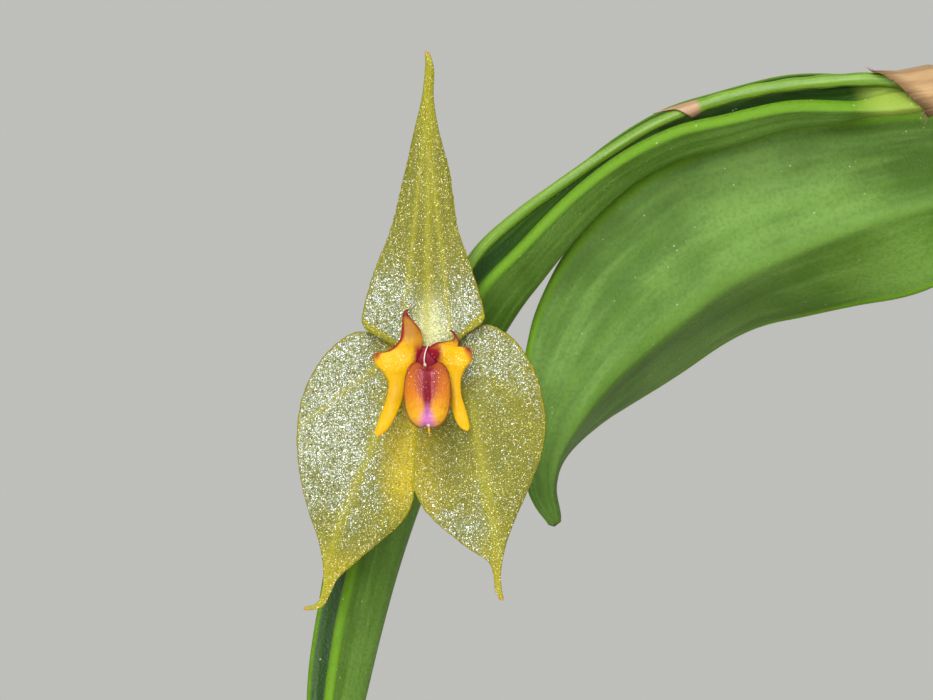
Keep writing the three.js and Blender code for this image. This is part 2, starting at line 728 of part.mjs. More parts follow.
function makeStalks() {
  const whole = curveThrough(STALK_POINTS);
  const length = whole.getLength();
  const bract = BRACT_SHARE * length;
  const peduncle = [
    ...[0, 0.25, 0.5, 0.75].map((u) => ({ at: u * bract, radius: STALK_RADIUS })),
    { at: bract - BRACT_LENGTH, radius: STALK_RADIUS + 0.03 },
    { at: bract - 0.1, radius: STALK_RADIUS + 0.12 },
    { at: bract + BRACT_LENGTH, radius: STALK_RADIUS + 0.24, slant: -0.4 },
    { at: bract + BRACT_LENGTH - 0.1, radius: STALK_RADIUS + 0.14, slant: -0.35 },
    { at: bract, radius: STALK_RADIUS + 0.08 },
  ];
  const start = bract + PEDICEL_GAP;
  const ovary = length - OVARY_LENGTH;
  const links = 10;
  const pedicel = Array.from({ length: links }, (_, i) => ({
    at: start + ((ovary - 1 - start) * i) / (links - 1),
    radius: STALK_RADIUS - 0.02,
  }));
  pedicel.push({ at: ovary, radius: STALK_RADIUS + 0.12 });
  pedicel.push({ at: length - 0.5, radius: STALK_RADIUS + 0.16 });
  pedicel.push({ at: length, radius: STALK_RADIUS + 0.08 });
  return [ringTube(whole, peduncle, 8), ringTube(whole, pedicel, 8)];
}

// The assembly
const PHOTO_LEAF_GRID = [20, 6];
const OTHER_LEAF_GRID = [12, 4];
const plant = new THREE.Group();

function place(name, geometry, colour, roughness) {
  const material = new THREE.MeshStandardMaterial({ color: colour, roughness, metalness: 0 });
  const mesh = new THREE.Mesh(geometry, material);
  mesh.name = name;
  plant.add(mesh);
}

place("pot", makePot(), 0xb5683f, 0.85);
place("moss", makeMoss(), 0x8a9450, 0.95);
place("rhizome_roots", geometryOfSolid(rhizomeSolid(0)), 0xb9a878, 0.8);

shoots.forEach((shoot, index) => {
  const number = String(index + 1).padStart(2, "0");
  const leaf = leafShape(shoot);
  const grid = index < PHOTO_SHOOTS.length ? PHOTO_LEAF_GRID : OTHER_LEAF_GRID;
  const foot = vec(shoot.foot[0], shoot.foot[1], STEM_FOOT_Z);
  const bow = vec(shoot.bow[0], shoot.bow[1], 0);
  const { origin, open } = leaf.frame(0);
  const leafBase = origin.addScaledVector(open, LEAF_THICKNESS / 2 + LEAF_SEAT);
  place(`ramicaul_${number}`, ramicaul(foot, leafBase, leaf.curve.getTangentAt(0), bow), 0xa98a5a, 0.85);
  place(`leaf_${number}`, sheet(leaf.surface, LEAF_THICKNESS, ...grid), 0x4f7d1e, 0.45);
});

const [peduncle, pedicel] = makeStalks();
place("peduncle", peduncle, 0x9ab568, 0.5);
place("pedicel_ovary", pedicel, 0x9cb465, 0.5);
for (const [name, organ] of Object.entries(BLOOM)) place(name, edgeSheet(organ), organ.colour, 0.35);
place("lip", makeLip(), 0xe87a1c, 0.3);
place("column", makeColumn(), 0xc7466a, 0.35);

export default plant;
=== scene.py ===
import bisect
import math
import random

import bmesh
import bpy
from bpy.props import FloatProperty, FloatVectorProperty, IntProperty, PointerProperty
from bpy.types import Operator, Panel, PropertyGroup
from mathutils import Matrix, Vector, noise


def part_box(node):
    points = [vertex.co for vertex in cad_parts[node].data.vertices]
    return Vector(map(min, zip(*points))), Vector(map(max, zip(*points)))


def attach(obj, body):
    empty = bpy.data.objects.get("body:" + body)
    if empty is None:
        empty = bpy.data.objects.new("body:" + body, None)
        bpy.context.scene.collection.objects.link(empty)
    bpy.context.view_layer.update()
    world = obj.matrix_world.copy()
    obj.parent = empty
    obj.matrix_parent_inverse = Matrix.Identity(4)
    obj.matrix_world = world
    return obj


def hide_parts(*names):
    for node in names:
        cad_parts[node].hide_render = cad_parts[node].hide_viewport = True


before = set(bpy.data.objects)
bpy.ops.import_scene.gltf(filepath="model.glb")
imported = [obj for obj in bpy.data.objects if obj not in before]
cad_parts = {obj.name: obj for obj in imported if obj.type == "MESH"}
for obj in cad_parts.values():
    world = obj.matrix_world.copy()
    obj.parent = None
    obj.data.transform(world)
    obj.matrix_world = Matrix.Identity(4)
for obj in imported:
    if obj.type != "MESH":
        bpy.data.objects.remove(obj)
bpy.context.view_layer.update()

# A potted lepanthes orchid in metres, +Z up, with its open flower facing -Y.
# Shapes are worked out in millimetres, and new_piece() turns them into metres.

bl_info = {
    "name": "Potted lepanthes orchid",
    "version": (1, 0, 0),
    "blender": (4, 5, 0),
    "location": "3D View > Sidebar > Orchid",
    "description": "Makes the flower, leaves, stems, moss and pot of a miniature orchid",
    "category": "Add Mesh",
}

METRES = 0.001
BODY = "root"

# Sizes that the construction gives, in millimetres
POT_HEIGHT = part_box("pot")[1][2] / METRES
POT_RIM_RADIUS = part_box("pot")[1][0] / METRES
POT_RIM_BAND = 8
POT_BODY_RADIUS = 23.6
POT_BASE_RADIUS = 17.5
POT_WALL = 2.8
POT_FLOOR = 3.5
POT_FILLET = 2
DRAIN_RADIUS = 1.7
DRAIN_CIRCLE = 9
DRAIN_COUNT = 4

MOSS_RIM_LEVEL = 41.4
MOSS_DOME = 3
MOSS_LUMP = 0.7
MOSS_TOP = MOSS_RIM_LEVEL + MOSS_DOME
MOSS_FILLET = 2.4
GAP = 0.3
STEM_FOOT_Z = 36.6
STEM_STRAIGHT = 1.2
STEM_BARE_FOOT = 4
SHEATH_RADIUS = 0.68
SHEATH_WAIST = 0.06
SHEATH_LENGTH = 9
CUP_RADIUS = 0.82
CUP_LENGTH = 1.8
LEAF_SEAT = 0.39
KEEL_RADIUS = 0.5
STALK_RADIUS = 0.25
BRACT_SHARE = 0.28

# The middle of the flower's lip: x right, y away from the viewer, z up
FLOWER = Vector((-34, -9, 78))


def from_flower(points):
    return [Vector(point) + FLOWER for point in points]


def tint(red, green, blue):
    """A colour given in steps from 0 to 255, as linear light."""
    steps = [value / 255 for value in (red, green, blue)]
    return tuple(s / 12.92 if s <= 0.04045 else ((s + 0.055) / 1.055) ** 2.4 for s in steps)


def colour_property(name, description, *steps):
    return FloatVectorProperty(
        name=name, description=description, subtype="COLOR", size=3, min=0, max=1, default=tint(*steps)
    )


def size_property(name, description, millimetres):
    return FloatProperty(
        name=name, description=description, unit="LENGTH", precision=5, default=millimetres * METRES
    )


def power_property(name, description, watts):
    return FloatProperty(name=name, description=description, unit="POWER", default=watts)


class PotSettings(PropertyGroup):
    clay: colour_property("Clay", "Fired clay of the pot", 186, 104, 66)
    dark_clay: colour_property("Damp clay", "Clay where the pot holds water", 150, 78, 50)
    lime: colour_property("Lime", "Mineral bloom on the wall", 214, 190, 168)
    algae: colour_property("Algae", "Green film under the rim", 96, 98, 58)
    turning: size_property("Turning lines", "Height of the lines left by the wheel", 0.05)
    sides: IntProperty(name="Sides", description="Steps of the pot's spin", default=144, min=36)


class MossSettings(PropertyGroup):
    old: colour_property("Old moss", "Lower, paler strands", 150, 132, 84)
    live: colour_property("Live moss", "Growing heads", 138, 152, 70)
    tip: colour_property("Tips", "Ends of the growing heads", 196, 204, 120)
    head: size_property("Head", "Radius of a moss head", 1.5)
    heads: IntProperty(name="Heads", description="How many moss heads grow", default=460, min=1)


class StemSettings(PropertyGroup):
    paper: colour_property("Paper", "Dry sheaths round the stems", 152, 124, 86)
    nerve: colour_property("Nerve", "Ribs and mouths of the sheaths", 112, 78, 48)
    green: colour_property("Green", "Stem seen through the sheaths", 120, 122, 56)
    root: colour_property("Root", "Rhizome and roots", 196, 184, 140)
    hair: size_property("Hair", "Length of the hairs on the sheaths' mouths", 0.34)


class LeafSettings(PropertyGroup):
    face: colour_property("Face", "Inner face of a leaf", 24, 56, 4)
    under: colour_property("Underside", "Outer face of a leaf", 56, 87, 17)
    pale: colour_property("Pale underside", "Outer face where it is dull", 95, 128, 55)
    margin: colour_property("Margin", "Thick edge of a leaf", 82, 120, 14)
    stalk: colour_property("Leaf stalk", "Short stalk of a leaf", 122, 142, 54)
    thickness: size_property("Thickness", "Thickness of a blade", 0.42)


class StalkSettings(PropertyGroup):
    green: colour_property("Green", "Flower stalk and pedicel", 82, 116, 20)
    pale: colour_property("Pale", "Light lines along the stalk", 112, 144, 42)
    bract: colour_property("Bract", "Dried bract", 152, 118, 88)


class FlowerSettings(PropertyGroup):
    sepal: colour_property("Sepal", "Body of the sepals", 98, 97, 14)
    # Sepal cells is the darker green of the cells, also laid as painted shade between the painted glints
    shade: colour_property("Sepal cells", "Green between the glints", 58, 64, 12)
    # Frost is a paler painted sheen on cells where the painted glints are crowded
    pale_sheen: colour_property("Frost", "Dull cells among the silver glints", 122, 126, 84)
    cream: colour_property("Cream", "Foot of the dorsal sepal", 206, 208, 158)
    glow: colour_property("Glow", "Sepals near their cleft", 162, 143, 1)
    vein: colour_property("Vein", "Veins and rims of the sepals", 132, 128, 22)
    # Silver and Gold are the colours of glints painted as highlights into the sepals' colour
    silver_glint: colour_property("Silver", "Glints of the surface cells", 248, 250, 250)
    warm_glint: colour_property("Gold", "Warm glints of the surface cells", 214, 196, 110)
    flush: colour_property("Flush", "Ends of the tails", 170, 74, 36)
    petal: colour_property("Petal", "Petals", 188, 145, 1)
    petal_top: colour_property("Upper petal", "Upper lobes of the petals", 130, 78, 1)
    crimson: colour_property("Crimson", "Edges, column and groove", 112, 6, 26)
    lip: colour_property("Lip", "Sides of the lip", 172, 96, 1)
    pink: colour_property("Pink", "Patch low on the lip", 158, 80, 138)
    cell: size_property("Cell", "Width of a surface cell of the sepals", 0.078)
    cell_height: size_property("Cell height", "How far a surface cell stands out", 0.026)


class StudioSettings(PropertyGroup):
    backdrop: colour_property("Backdrop", "Floor and surroundings", 226, 226, 222)
    key: power_property("Key light", "Soft light from the upper left", 1.4)
    front: power_property("Front light", "Soft light beside the camera", 1.3)
    glint: power_property("Glint light", "Small light by the camera", 0.25)
    fill: power_property("Fill light", "Soft light from the right", 0.6)
    back: power_property("Back light", "Soft light from behind", 0.7)
    floor_radius: size_property("Floor radius", "Radius of the round floor", 900)


# Curves and profiles
def hermite(a, b, out, into, s):
    """The smooth way from a to b that leaves along out and arrives along into."""
    start = a * (2 * s**3 - 3 * s**2 + 1) + out * (s**3 - 2 * s**2 + s)
    return start + b * (3 * s**2 - 2 * s**3) + into * (s**3 - s**2)


def profile(pairs):
    """A smooth function of t through (t, value) pairs."""

    def slope(i):
        a = pairs[max(i - 1, 0)]
        b = pairs[min(i + 1, len(pairs) - 1)]
        return (b[1] - a[1]) / (b[0] - a[0])

    def value(t):
        i = 0
        while i < len(pairs) - 2 and t > pairs[i + 1][0]:
            i += 1
        t0, v0 = pairs[i]
        t1, v1 = pairs[i + 1]
        h = t1 - t0
        return hermite(v0, v1, slope(i) * h, slope(i + 1) * h, min(max((t - t0) / h, 0), 1))

    return value


def smooth(low, high, value):
    """0 below low, 1 above high, with a smooth step between."""
    s = min(max((value - low) / (high - low), 0), 1)
    return s * s * (3 - 2 * s)


def bell(value, width):
    """1 where the value is 0, falling to 0 on both sides over the width."""
    return math.exp(-((value / width) ** 2))


def bezier(points, t):
    while len(points) > 1:
        points = [a.lerp(b, t) for a, b in zip(points, points[1:])]
    return points[0]


def to_edges(s):
    """Draws even steps from -1 to 1 closer together near both ends."""
    return math.sin(math.pi / 2 * s)


class Path:
    """A smooth route through points, in millimetres."""

    STEPS = 24
    FRAMES = 240
    REACH = 0.006

    def __init__(self, points):
        self.points = [Vector(point) for point in points]
        count = (len(self.points) - 1) * self.STEPS
        self.samples = [self.by_point(i / count) for i in range(count + 1)]
        self.marks = [0]
        for a, b in zip(self.samples, self.samples[1:]):
            self.marks.append(self.marks[-1] + (b - a).length)
        self.length = self.marks[-1]

    def by_point(self, t):
        """The place at a share of the way, counted in control points."""
        points = self.points
        last = len(points) - 1
        i = min(int(t * last), last - 1)
        before = points[i - 1] if i > 0 else 2 * points[0] - points[1]
        after = points[i + 2] if i < last - 1 else 2 * points[last] - points[last - 1]
        out, into = (points[i + 1] - before) / 2, (after - points[i]) / 2
        return hermite(points[i], points[i + 1], out, into, t * last - i)

    def at(self, share):
        """The place at a share of the length."""
        goal = min(max(share, 0), 1) * self.length
        i = min(bisect.bisect(self.marks, goal), len(self.marks) - 1)
        start, end = self.marks[i - 1], self.marks[i]
        return self.samples[i - 1].lerp(self.samples[i], (goal - start) / (end - start))

    def tangent(self, share):
        ahead, behind = min(share + self.REACH, 1), max(share - self.REACH, 0)
        return (self.at(ahead) - self.at(behind)).normalized()

    def frames(self):
        """Directions along, across and up at even steps, turned as little as the route allows."""
        across = Vector((0, 1, 0))
        frames = []
        for i in range(self.FRAMES + 1):
            tangent = self.tangent(i / self.FRAMES)
            across = (across - across.dot(tangent) * tangent).normalized()
            frames.append((tangent, across, tangent.cross(across)))
        return frames


# Meshes
HAIR_TAPER = 0.15
CELL_REACH = 0.62


def to_mesh(name, bm):
    mesh = bpy.data.meshes.new(name)
    bm.to_mesh(mesh)
    bm.free()
    return mesh


def in_scene(name, data):
    thing = bpy.data.objects.new(name, data)
    bpy.context.collection.objects.link(thing)
    return thing


def new_piece(name, bm, material, replaces=()):
    """An object from a mesh in millimetres, which rides on the plant's body."""
    bmesh.ops.scale(bm, vec=(METRES, METRES, METRES), verts=bm.verts)
    for face in bm.faces:
        face.smooth = True
    mesh = to_mesh(name, bm)
    mesh.materials.append(material)
    piece = in_scene(name, mesh)
    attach(piece, BODY)
    if replaces:
        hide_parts(*replaces)
    return piece


def wrapped_grid(along, around, row):
    """A closed body from a grid: row(t) gives a function of the way round, from 0 to 1,
    that returns a place and what the materials read there. Its two ends are drawn to a point."""
    bm = bmesh.new()
    bm.loops.layers.uv.new("OFBake")
    reading = bm.verts.layers.float_vector.new("place")
    bmesh.ops.create_grid(bm, x_segments=around, y_segments=along, size=0.5, calc_uvs=True)
    rows = [row(i / along) for i in range(along + 1)]
    ends = {0: [], along: []}
    for vert in bm.verts:
        i = round((vert.co.y + 0.5) * along)
        vert.co, vert[reading] = rows[i](vert.co.x + 0.5)
        if i in ends:
            ends[i].append(vert)
    for verts in ends.values():
        middle = sum((vert.co for vert in verts), Vector()) / len(verts)
        bmesh.ops.pointmerge(bm, verts=verts, merge_co=middle)
    bmesh.ops.remove_doubles(bm, verts=bm.verts, dist=1e-4)
    bmesh.ops.recalc_face_normals(bm, faces=bm.faces)
    return bm


def blade(along, front, back, section, spread=lambda s: s):
    """A thin closed blade. section(t) gives a function of q, from -1 to 1 across it, that returns
    its middle, the direction of its front and the heights of its two faces."""

    def row(t):
        cross = section(t)

        def at(u):
            share = u * (front + back) / front
            is_front = share <= 1
            s = 2 * share - 1 if is_front else 1 - 2 * (share - 1) * front / back
            q = spread(max(min(s, 1), -1))
            middle, facing, front_height, back_height = cross(q)
            height = front_height if is_front else -back_height
            return middle + facing * height, Vector((q, t, 1 if is_front else 0))

        return at

    return wrapped_grid(along, front + back, row)


def drawn_forward(slant, point, angle):
    """How far a slanting, pointed mouth reaches at an angle round it. A slant below 0 tips the
    other side."""
    side = math.sin(angle)
    return slant * side + point * max(math.copysign(side, side * slant), 0) ** 5


def tube(path, rings, sides, shape=lambda angle, ring: 1):
    """A closed tube along a path. Each ring is (mm along the path, radius, slant, point, reading);
    slant tips one side forward, and point draws that side out further."""
    frames = path.frames()

    def row(t):
        ring = rings[round(t * (len(rings) - 1))]
        at_mm, radius, slant, point, reading = ring
        share = min(max(at_mm / path.length, 0), 1)
        tangent, across, up = frames[round(share * (len(frames) - 1))]
        centre = path.at(share)

        def at(u):
            angle = 2 * math.pi * u
            out = across * math.cos(angle) + up * math.sin(angle)
            drawn = drawn_forward(slant, point, angle)
            place = centre + out * radius * shape(angle, ring) + tangent * drawn
            return place, Vector((u, at_mm, reading))

        return at

    return wrapped_grid(len(rings) - 1, sides, row)


def hair_tuft(hairs, sides=3):
    """A mesh of slender cones, each given by its root, direction, length and radius."""
    bm = bmesh.new()
    for root, direction, length, radius in hairs:
        turn = direction.to_track_quat("Z", "Y").to_matrix().to_4x4()
        bmesh.ops.create_cone(
            bm, cap_ends=True, segments=sides, radius1=radius, radius2=radius * HAIR_TAPER, depth=length,
            matrix=Matrix.Translation(root + direction.normalized() * length / 2) @ turn,
        )
    return to_mesh("tuft", bm)


def gather(bm, mesh, matrix=None):
    """Adds a small mesh to a larger one, and removes it."""
    if matrix:
        mesh.transform(matrix)
    bm.from_mesh(mesh)
    bpy.data.meshes.remove(mesh)


def even_rings(path, count, radius):
    """Rings at even steps along a path, each with radius(s) at its share s of the way."""
    return [(path.length * k / count, radius(k / count), 0, 0, 0) for k in range(count + 1)]


def ball(columns, rows, place):
    """A sphere of radius 1 whose points are moved to place(point). Materials read the first place."""
    bm = bmesh.new()
    reading = bm.verts.layers.float_vector.new("place")
    bmesh.ops.create_uvsphere(bm, u_segments=columns, v_segments=rows, radius=1)
    for vert in bm.verts:
        vert[reading] = vert.co
        vert.co = place(vert.co.copy())
    return bm


def cell_dome(place, cell):
    """How high a rounded surface cell stands at a place, from 0 at its rim to 1 in its middle."""
    return max(1 - (noise.voronoi(place / cell)[0][0] / CELL_REACH) ** 2, 0)


# Materials: scales count features per millimetre, and shares run from 0 to 1
class Number:
    """A number in a material. Arithmetic on it adds Math nodes."""

    def __init__(self, finish, socket):
        self.finish = finish
        self.socket = socket

    def maths(self, operation, *values, clamp=False):
        settings = {"operation": operation, "use_clamp": clamp}
        return self.finish.number("ShaderNodeMath", settings, dict(enumerate(values)))

    def __add__(self, other):
        return self.maths("ADD", self, other)

    def __sub__(self, other):
        return self.maths("SUBTRACT", self, other)

    def __rsub__(self, other):
        return self.maths("SUBTRACT", other, self)

    def __mul__(self, other):
        return self.maths("MULTIPLY", self, other)

    def __truediv__(self, other):
        return self.maths("DIVIDE", self, other)

    def __pow__(self, other):
        return self.maths("POWER", self, other)

    __radd__ = __add__
    __rmul__ = __mul__

    def clamped(self):
        return self.maths("ADD", self, 0, clamp=True)

    def size(self):
        return self.maths("ABSOLUTE", self)

    def wave(self):
        return self.maths("SINE", self)

    def or_more(self, other):
        return self.maths("MAXIMUM", self, other)

    def smooth(self, low, high):
        """0 below low, 1 above high, with a smooth step between."""
        settings = {"interpolation_type": "SMOOTHSTEP"}
        if low > high:
            return 1 - self.smooth(high, low)
        return self.finish.number("ShaderNodeMapRange", settings, {0: self, 1: low, 2: high})

    def bell(self, width):
        """1 where it is 0, falling to 0 on both sides over the width."""
        scaled = self / width
        return self.maths("POWER", math.e, scaled * scaled * -1)


class Finish:
    """A material with one Principled shader."""

    def __init__(self, name, gloss=0.5, flesh=0, reach=0.0003):
        """gloss is the specular level. flesh is the share of light that enters, as far as reach in m."""
        self.material = bpy.data.materials.new(name)
        self.material.use_nodes = True
        self.tree = self.material.node_tree
        self.shader = self.tree.nodes["Principled BSDF"]
        constants = {"Specular IOR Level": gloss, "Subsurface Weight": flesh, "Subsurface Scale": reach}
        for socket, value in constants.items():
            self.set(self.shader.inputs[socket], value)
        coordinates = self.node("ShaderNodeTexCoord")
        self.place = self.vector("SCALE", {0: coordinates.outputs["Object"], 3: 1 / METRES})

    def set(self, socket, value):
        if isinstance(value, Number):
            value = value.socket
        if isinstance(value, bpy.types.NodeSocket):
            self.tree.links.new(value, socket)
        elif socket.type == "RGBA" and len(value) == 3:
            socket.default_value = (*value, 1)
        else:
            socket.default_value = value

    def node(self, kind, settings=None, sockets=None):
        node = self.tree.nodes.new(kind)
        for name, value in (settings or {}).items():
            setattr(node, name, value)
        for name, value in (sockets or {}).items():
            self.set(node.inputs[name], value)
        return node

    def number(self, kind, settings=None, sockets=None):
        return Number(self, self.node(kind, settings, sockets).outputs[0])

    def vector(self, operation, sockets):
        return self.node("ShaderNodeVectorMath", {"operation": operation}, sockets).outputs[0]

    def parts(self, vector):
        """The x, y and z numbers of a vector."""
        split = self.node("ShaderNodeSeparateXYZ", None, {0: vector})
        return [Number(self, output) for output in split.outputs]

    def readings(self):
        """The numbers that the mesh carries for its material."""
        return self.parts(self.node("ShaderNodeAttribute", {"attribute_name": "place"}).outputs["Vector"])

    def from_lip(self):
        """Place in mm, measured from the middle of the lip."""
        return self.vector("SUBTRACT", {0: self.place, 1: tuple(FLOWER)})

    def joined(self, x, y, z):
        return self.node("ShaderNodeCombineXYZ", None, {0: x, 1: y, 2: z}).outputs[0]

    def stretched(self, vector, scale):
        return self.vector("MULTIPLY", {0: vector, 1: scale})

    def noise(self, scale, detail=2, vector=None, roughness=0.5):
        sockets = {"Scale": scale, "Detail": detail, "Roughness": roughness}
        sockets["Vector"] = vector or self.place
        return self.number("ShaderNodeTexNoise", None, sockets)

    def cells(self, scale, vector=None):
        """Distance from the middle of a cell, and three random numbers for each cell."""
        node = self.node("ShaderNodeTexVoronoi", None, {"Vector": vector or self.place, "Scale": scale})
        return Number(self, node.outputs["Distance"]), self.parts(node.outputs["Color"])

    def mix(self, share, low, high):
        settings = {"data_type": "RGBA", "clamp_factor": True}
        return self.node("ShaderNodeMix", settings, {0: share, 6: low, 7: high}).outputs[2]

    def layered(self, base, *layers):
        """A colour with others laid over it, each given with its share."""
        for share, colour in layers:
            base = self.mix(share, base, colour)
        return base

    def bump(self, height, millimetres):
        sockets = {"Height": height, "Distance": millimetres * METRES, "Strength": 1.0}
        return self.node("ShaderNodeBump", None, sockets).outputs[0]

    def wear(self, colour, roughness, height=None, millimetres=0.02):
        """Sets what changes over the surface, and returns the material."""
        self.set(self.shader.inputs["Base Color"], colour)
        self.set(self.shader.inputs["Roughness"], roughness)
        if height:
            self.set(self.shader.inputs["Normal"], self.bump(height, millimetres))
        return self.material


def darker(colour, share):
    return tuple(value * share for value in colour)


def mottled(name, gloss, scale, low, high, roughness):
    """A material that wanders between two colours."""
    finish = Finish(name, gloss)
    return finish.wear(finish.mix(finish.noise(scale), low, high), roughness)


# Pot
POT_EDGE = 0.9
POT_EDGE_STEPS = 6
WALL_CUTS = 70
DRILL_SIDES = 40


def inner_radius(z):
    """The radius of the pot's inner wall at a height."""
    taper = (POT_BODY_RADIUS - POT_BASE_RADIUS) / (POT_HEIGHT - POT_RIM_BAND)
    return POT_BASE_RADIUS - POT_WALL + taper * z


def clay_finish(pot):
    finish = Finish("Fired clay", 0.25)
    _, _, z = finish.parts(finish.place)
    blotch = finish.noise(0.09, 4)
    grain = finish.noise(3.5, 3)
    speck, pick = finish.cells(1.4)
    damp = (z * -1 / 30 + blotch * 2.2).smooth(0.2, 1.1)
    lime = (finish.noise(0.16, 5, roughness=0.7) + z.bell(16) * 0.2).smooth(0.58, 0.74)
    algae = (finish.noise(0.2, 4) + (z - POT_HEIGHT).bell(9) * 0.25).smooth(0.62, 0.8)
    colour = finish.layered(
        pot.clay,
        (damp * 0.75, pot.dark_clay),
        (grain.smooth(0.35, 0.7) * 0.3, darker(pot.clay, 0.6)),
        (lime * 0.55, pot.lime),
        (algae * 0.5, pot.algae),
        ((pick[0].smooth(0.86, 0.9) * speck.smooth(0.22, 0.1)) * 0.6, darker(pot.dark_clay, 0.5)),
    )
    return finish.wear(colour, grain * 0.2 + 0.72, grain + speck * 0.4, 0.05)


class ORCHID_OT_pot(Operator):
    """Spins the clay pot and cuts its drain holes"""

    bl_idname = "orchid.pot"
    bl_label = "Clay pot"

    def execute(self, context):
        pot = context.scene.orchid_pot
        band_foot = POT_HEIGHT - POT_RIM_BAND
        outline = [
            (POT_BASE_RADIUS, 0),
            (POT_BODY_RADIUS, band_foot),
            (POT_RIM_RADIUS - 0.5, band_foot + POT_EDGE),
            (POT_RIM_RADIUS, POT_HEIGHT - 0.2),
            (POT_RIM_RADIUS - 2.3, POT_HEIGHT),
            (inner_radius(POT_HEIGHT - 2), POT_HEIGHT - 2),
            (inner_radius(POT_FLOOR + POT_FILLET), POT_FLOOR + POT_FILLET),
            (inner_radius(POT_FLOOR) - POT_FILLET, POT_FLOOR),
        ]
        bm = bmesh.new()
        corners = [bm.verts.new((r, 0, z)) for r, z in [(0, 0), *outline, (0, POT_FLOOR)]]
        for pair in zip(corners, corners[1:]):
            bm.edges.new(pair)
        bmesh.ops.bevel(
            bm, geom=corners[1:-1], offset=POT_EDGE, offset_type="OFFSET", segments=POT_EDGE_STEPS,
            profile=0.5, affect="VERTICES", material=-1,
        )
        wall = [edge for edge in bm.edges if edge.calc_length() > POT_RIM_BAND * 0.6]
        bmesh.ops.subdivide_edges(bm, edges=wall, cuts=WALL_CUTS)
        turning = pot.turning / METRES
        for vert in bm.verts:
            if vert.co.x > DRAIN_CIRCLE + DRAIN_RADIUS * 2:
                wander = noise.noise(Vector((0, 0, vert.co.z * 0.35)))
                vert.co.x += turning * (math.sin(vert.co.z * 4.1 + 2 * wander) + 1.6 * wander) * 0.6
        bmesh.ops.spin(
            bm, geom=bm.verts[:] + bm.edges[:], cent=(0, 0, 0), axis=(0, 0, 1), angle=2 * math.pi,
            steps=pot.sides, use_merge=True,
        )
        bmesh.ops.remove_doubles(bm, verts=bm.verts, dist=1e-3)
        bmesh.ops.recalc_face_normals(bm, faces=bm.faces)
        piece = new_piece("clay_pot", bm, clay_finish(pot), ["pot"])

        cutter = bmesh.new()
        drain = DRAIN_RADIUS * METRES
        for i in range(DRAIN_COUNT):
            angle = 2 * math.pi * (i + 0.5) / DRAIN_COUNT
            centre = Vector((math.cos(angle), math.sin(angle), 0)) * DRAIN_CIRCLE * METRES
            bmesh.ops.create_cone(
                cutter, cap_ends=True, segments=DRILL_SIDES, radius1=drain, radius2=drain,
                depth=4 * POT_FLOOR * METRES, matrix=Matrix.Translation(centre),
            )
        drill_mesh = to_mesh("drill", cutter)
        drill = in_scene("drill", drill_mesh)
        cut = piece.modifiers.new("Drain holes", "BOOLEAN")
        cut.object = drill
        cut.operation = "DIFFERENCE"
        graph = context.evaluated_depsgraph_get()
        drilled = bpy.data.meshes.new_from_object(piece.evaluated_get(graph))
        piece.modifiers.clear()
        piece.data = drilled
        bpy.data.objects.remove(drill)
        bpy.data.meshes.remove(drill_mesh)
        return {"FINISHED"}


# Moss: the rows of its bed cross the top, go down the pot's wall and close below
TOP_ROWS = 0.75
WALL_ROWS = 0.95
MOSS_SHOULDER = MOSS_RIM_LEVEL - 1.2
HEAD_CLEARANCE = 1.5
HEAD_ARM_WIDTH = 0.17
# Arms, lift and reach of each tier of a moss head
HEAD_TIERS = ((9, -0.25, 1), (7, 0.45, 0.75), (4, 1.6, 0.5))


def moss_height(x, y):
    """The level of the moss bed: a low dome with tufts."""
    share = math.hypot(x, y) / inner_radius(MOSS_RIM_LEVEL)
    tufts = math.sin(0.55 * x + 1.1) * math.sin(0.6 * y - 0.4) + 0.6 * math.sin(0.9 * x - 0.5 * y + 2)
    return MOSS_RIM_LEVEL + MOSS_DOME * (1 - share * share) + MOSS_LUMP * tufts


def moss_finish(moss, name, tips):
    finish = Finish(name, 0.2)
    patch = finish.noise(0.22, 3)
    strand = finish.noise(2.2, 4, finish.stretched(finish.place, (1, 1, 0.35)))
    colour = finish.layered(
        moss.old,
        (patch.smooth(0.38, 0.62), moss.live),
        (strand.smooth(0.52, 0.75) * tips, moss.tip),
        (strand.smooth(0.5, 0.3) * 0.6, darker(moss.old, 0.35)),
    )
    return finish.wear(colour, 0.85, strand, 0.12)


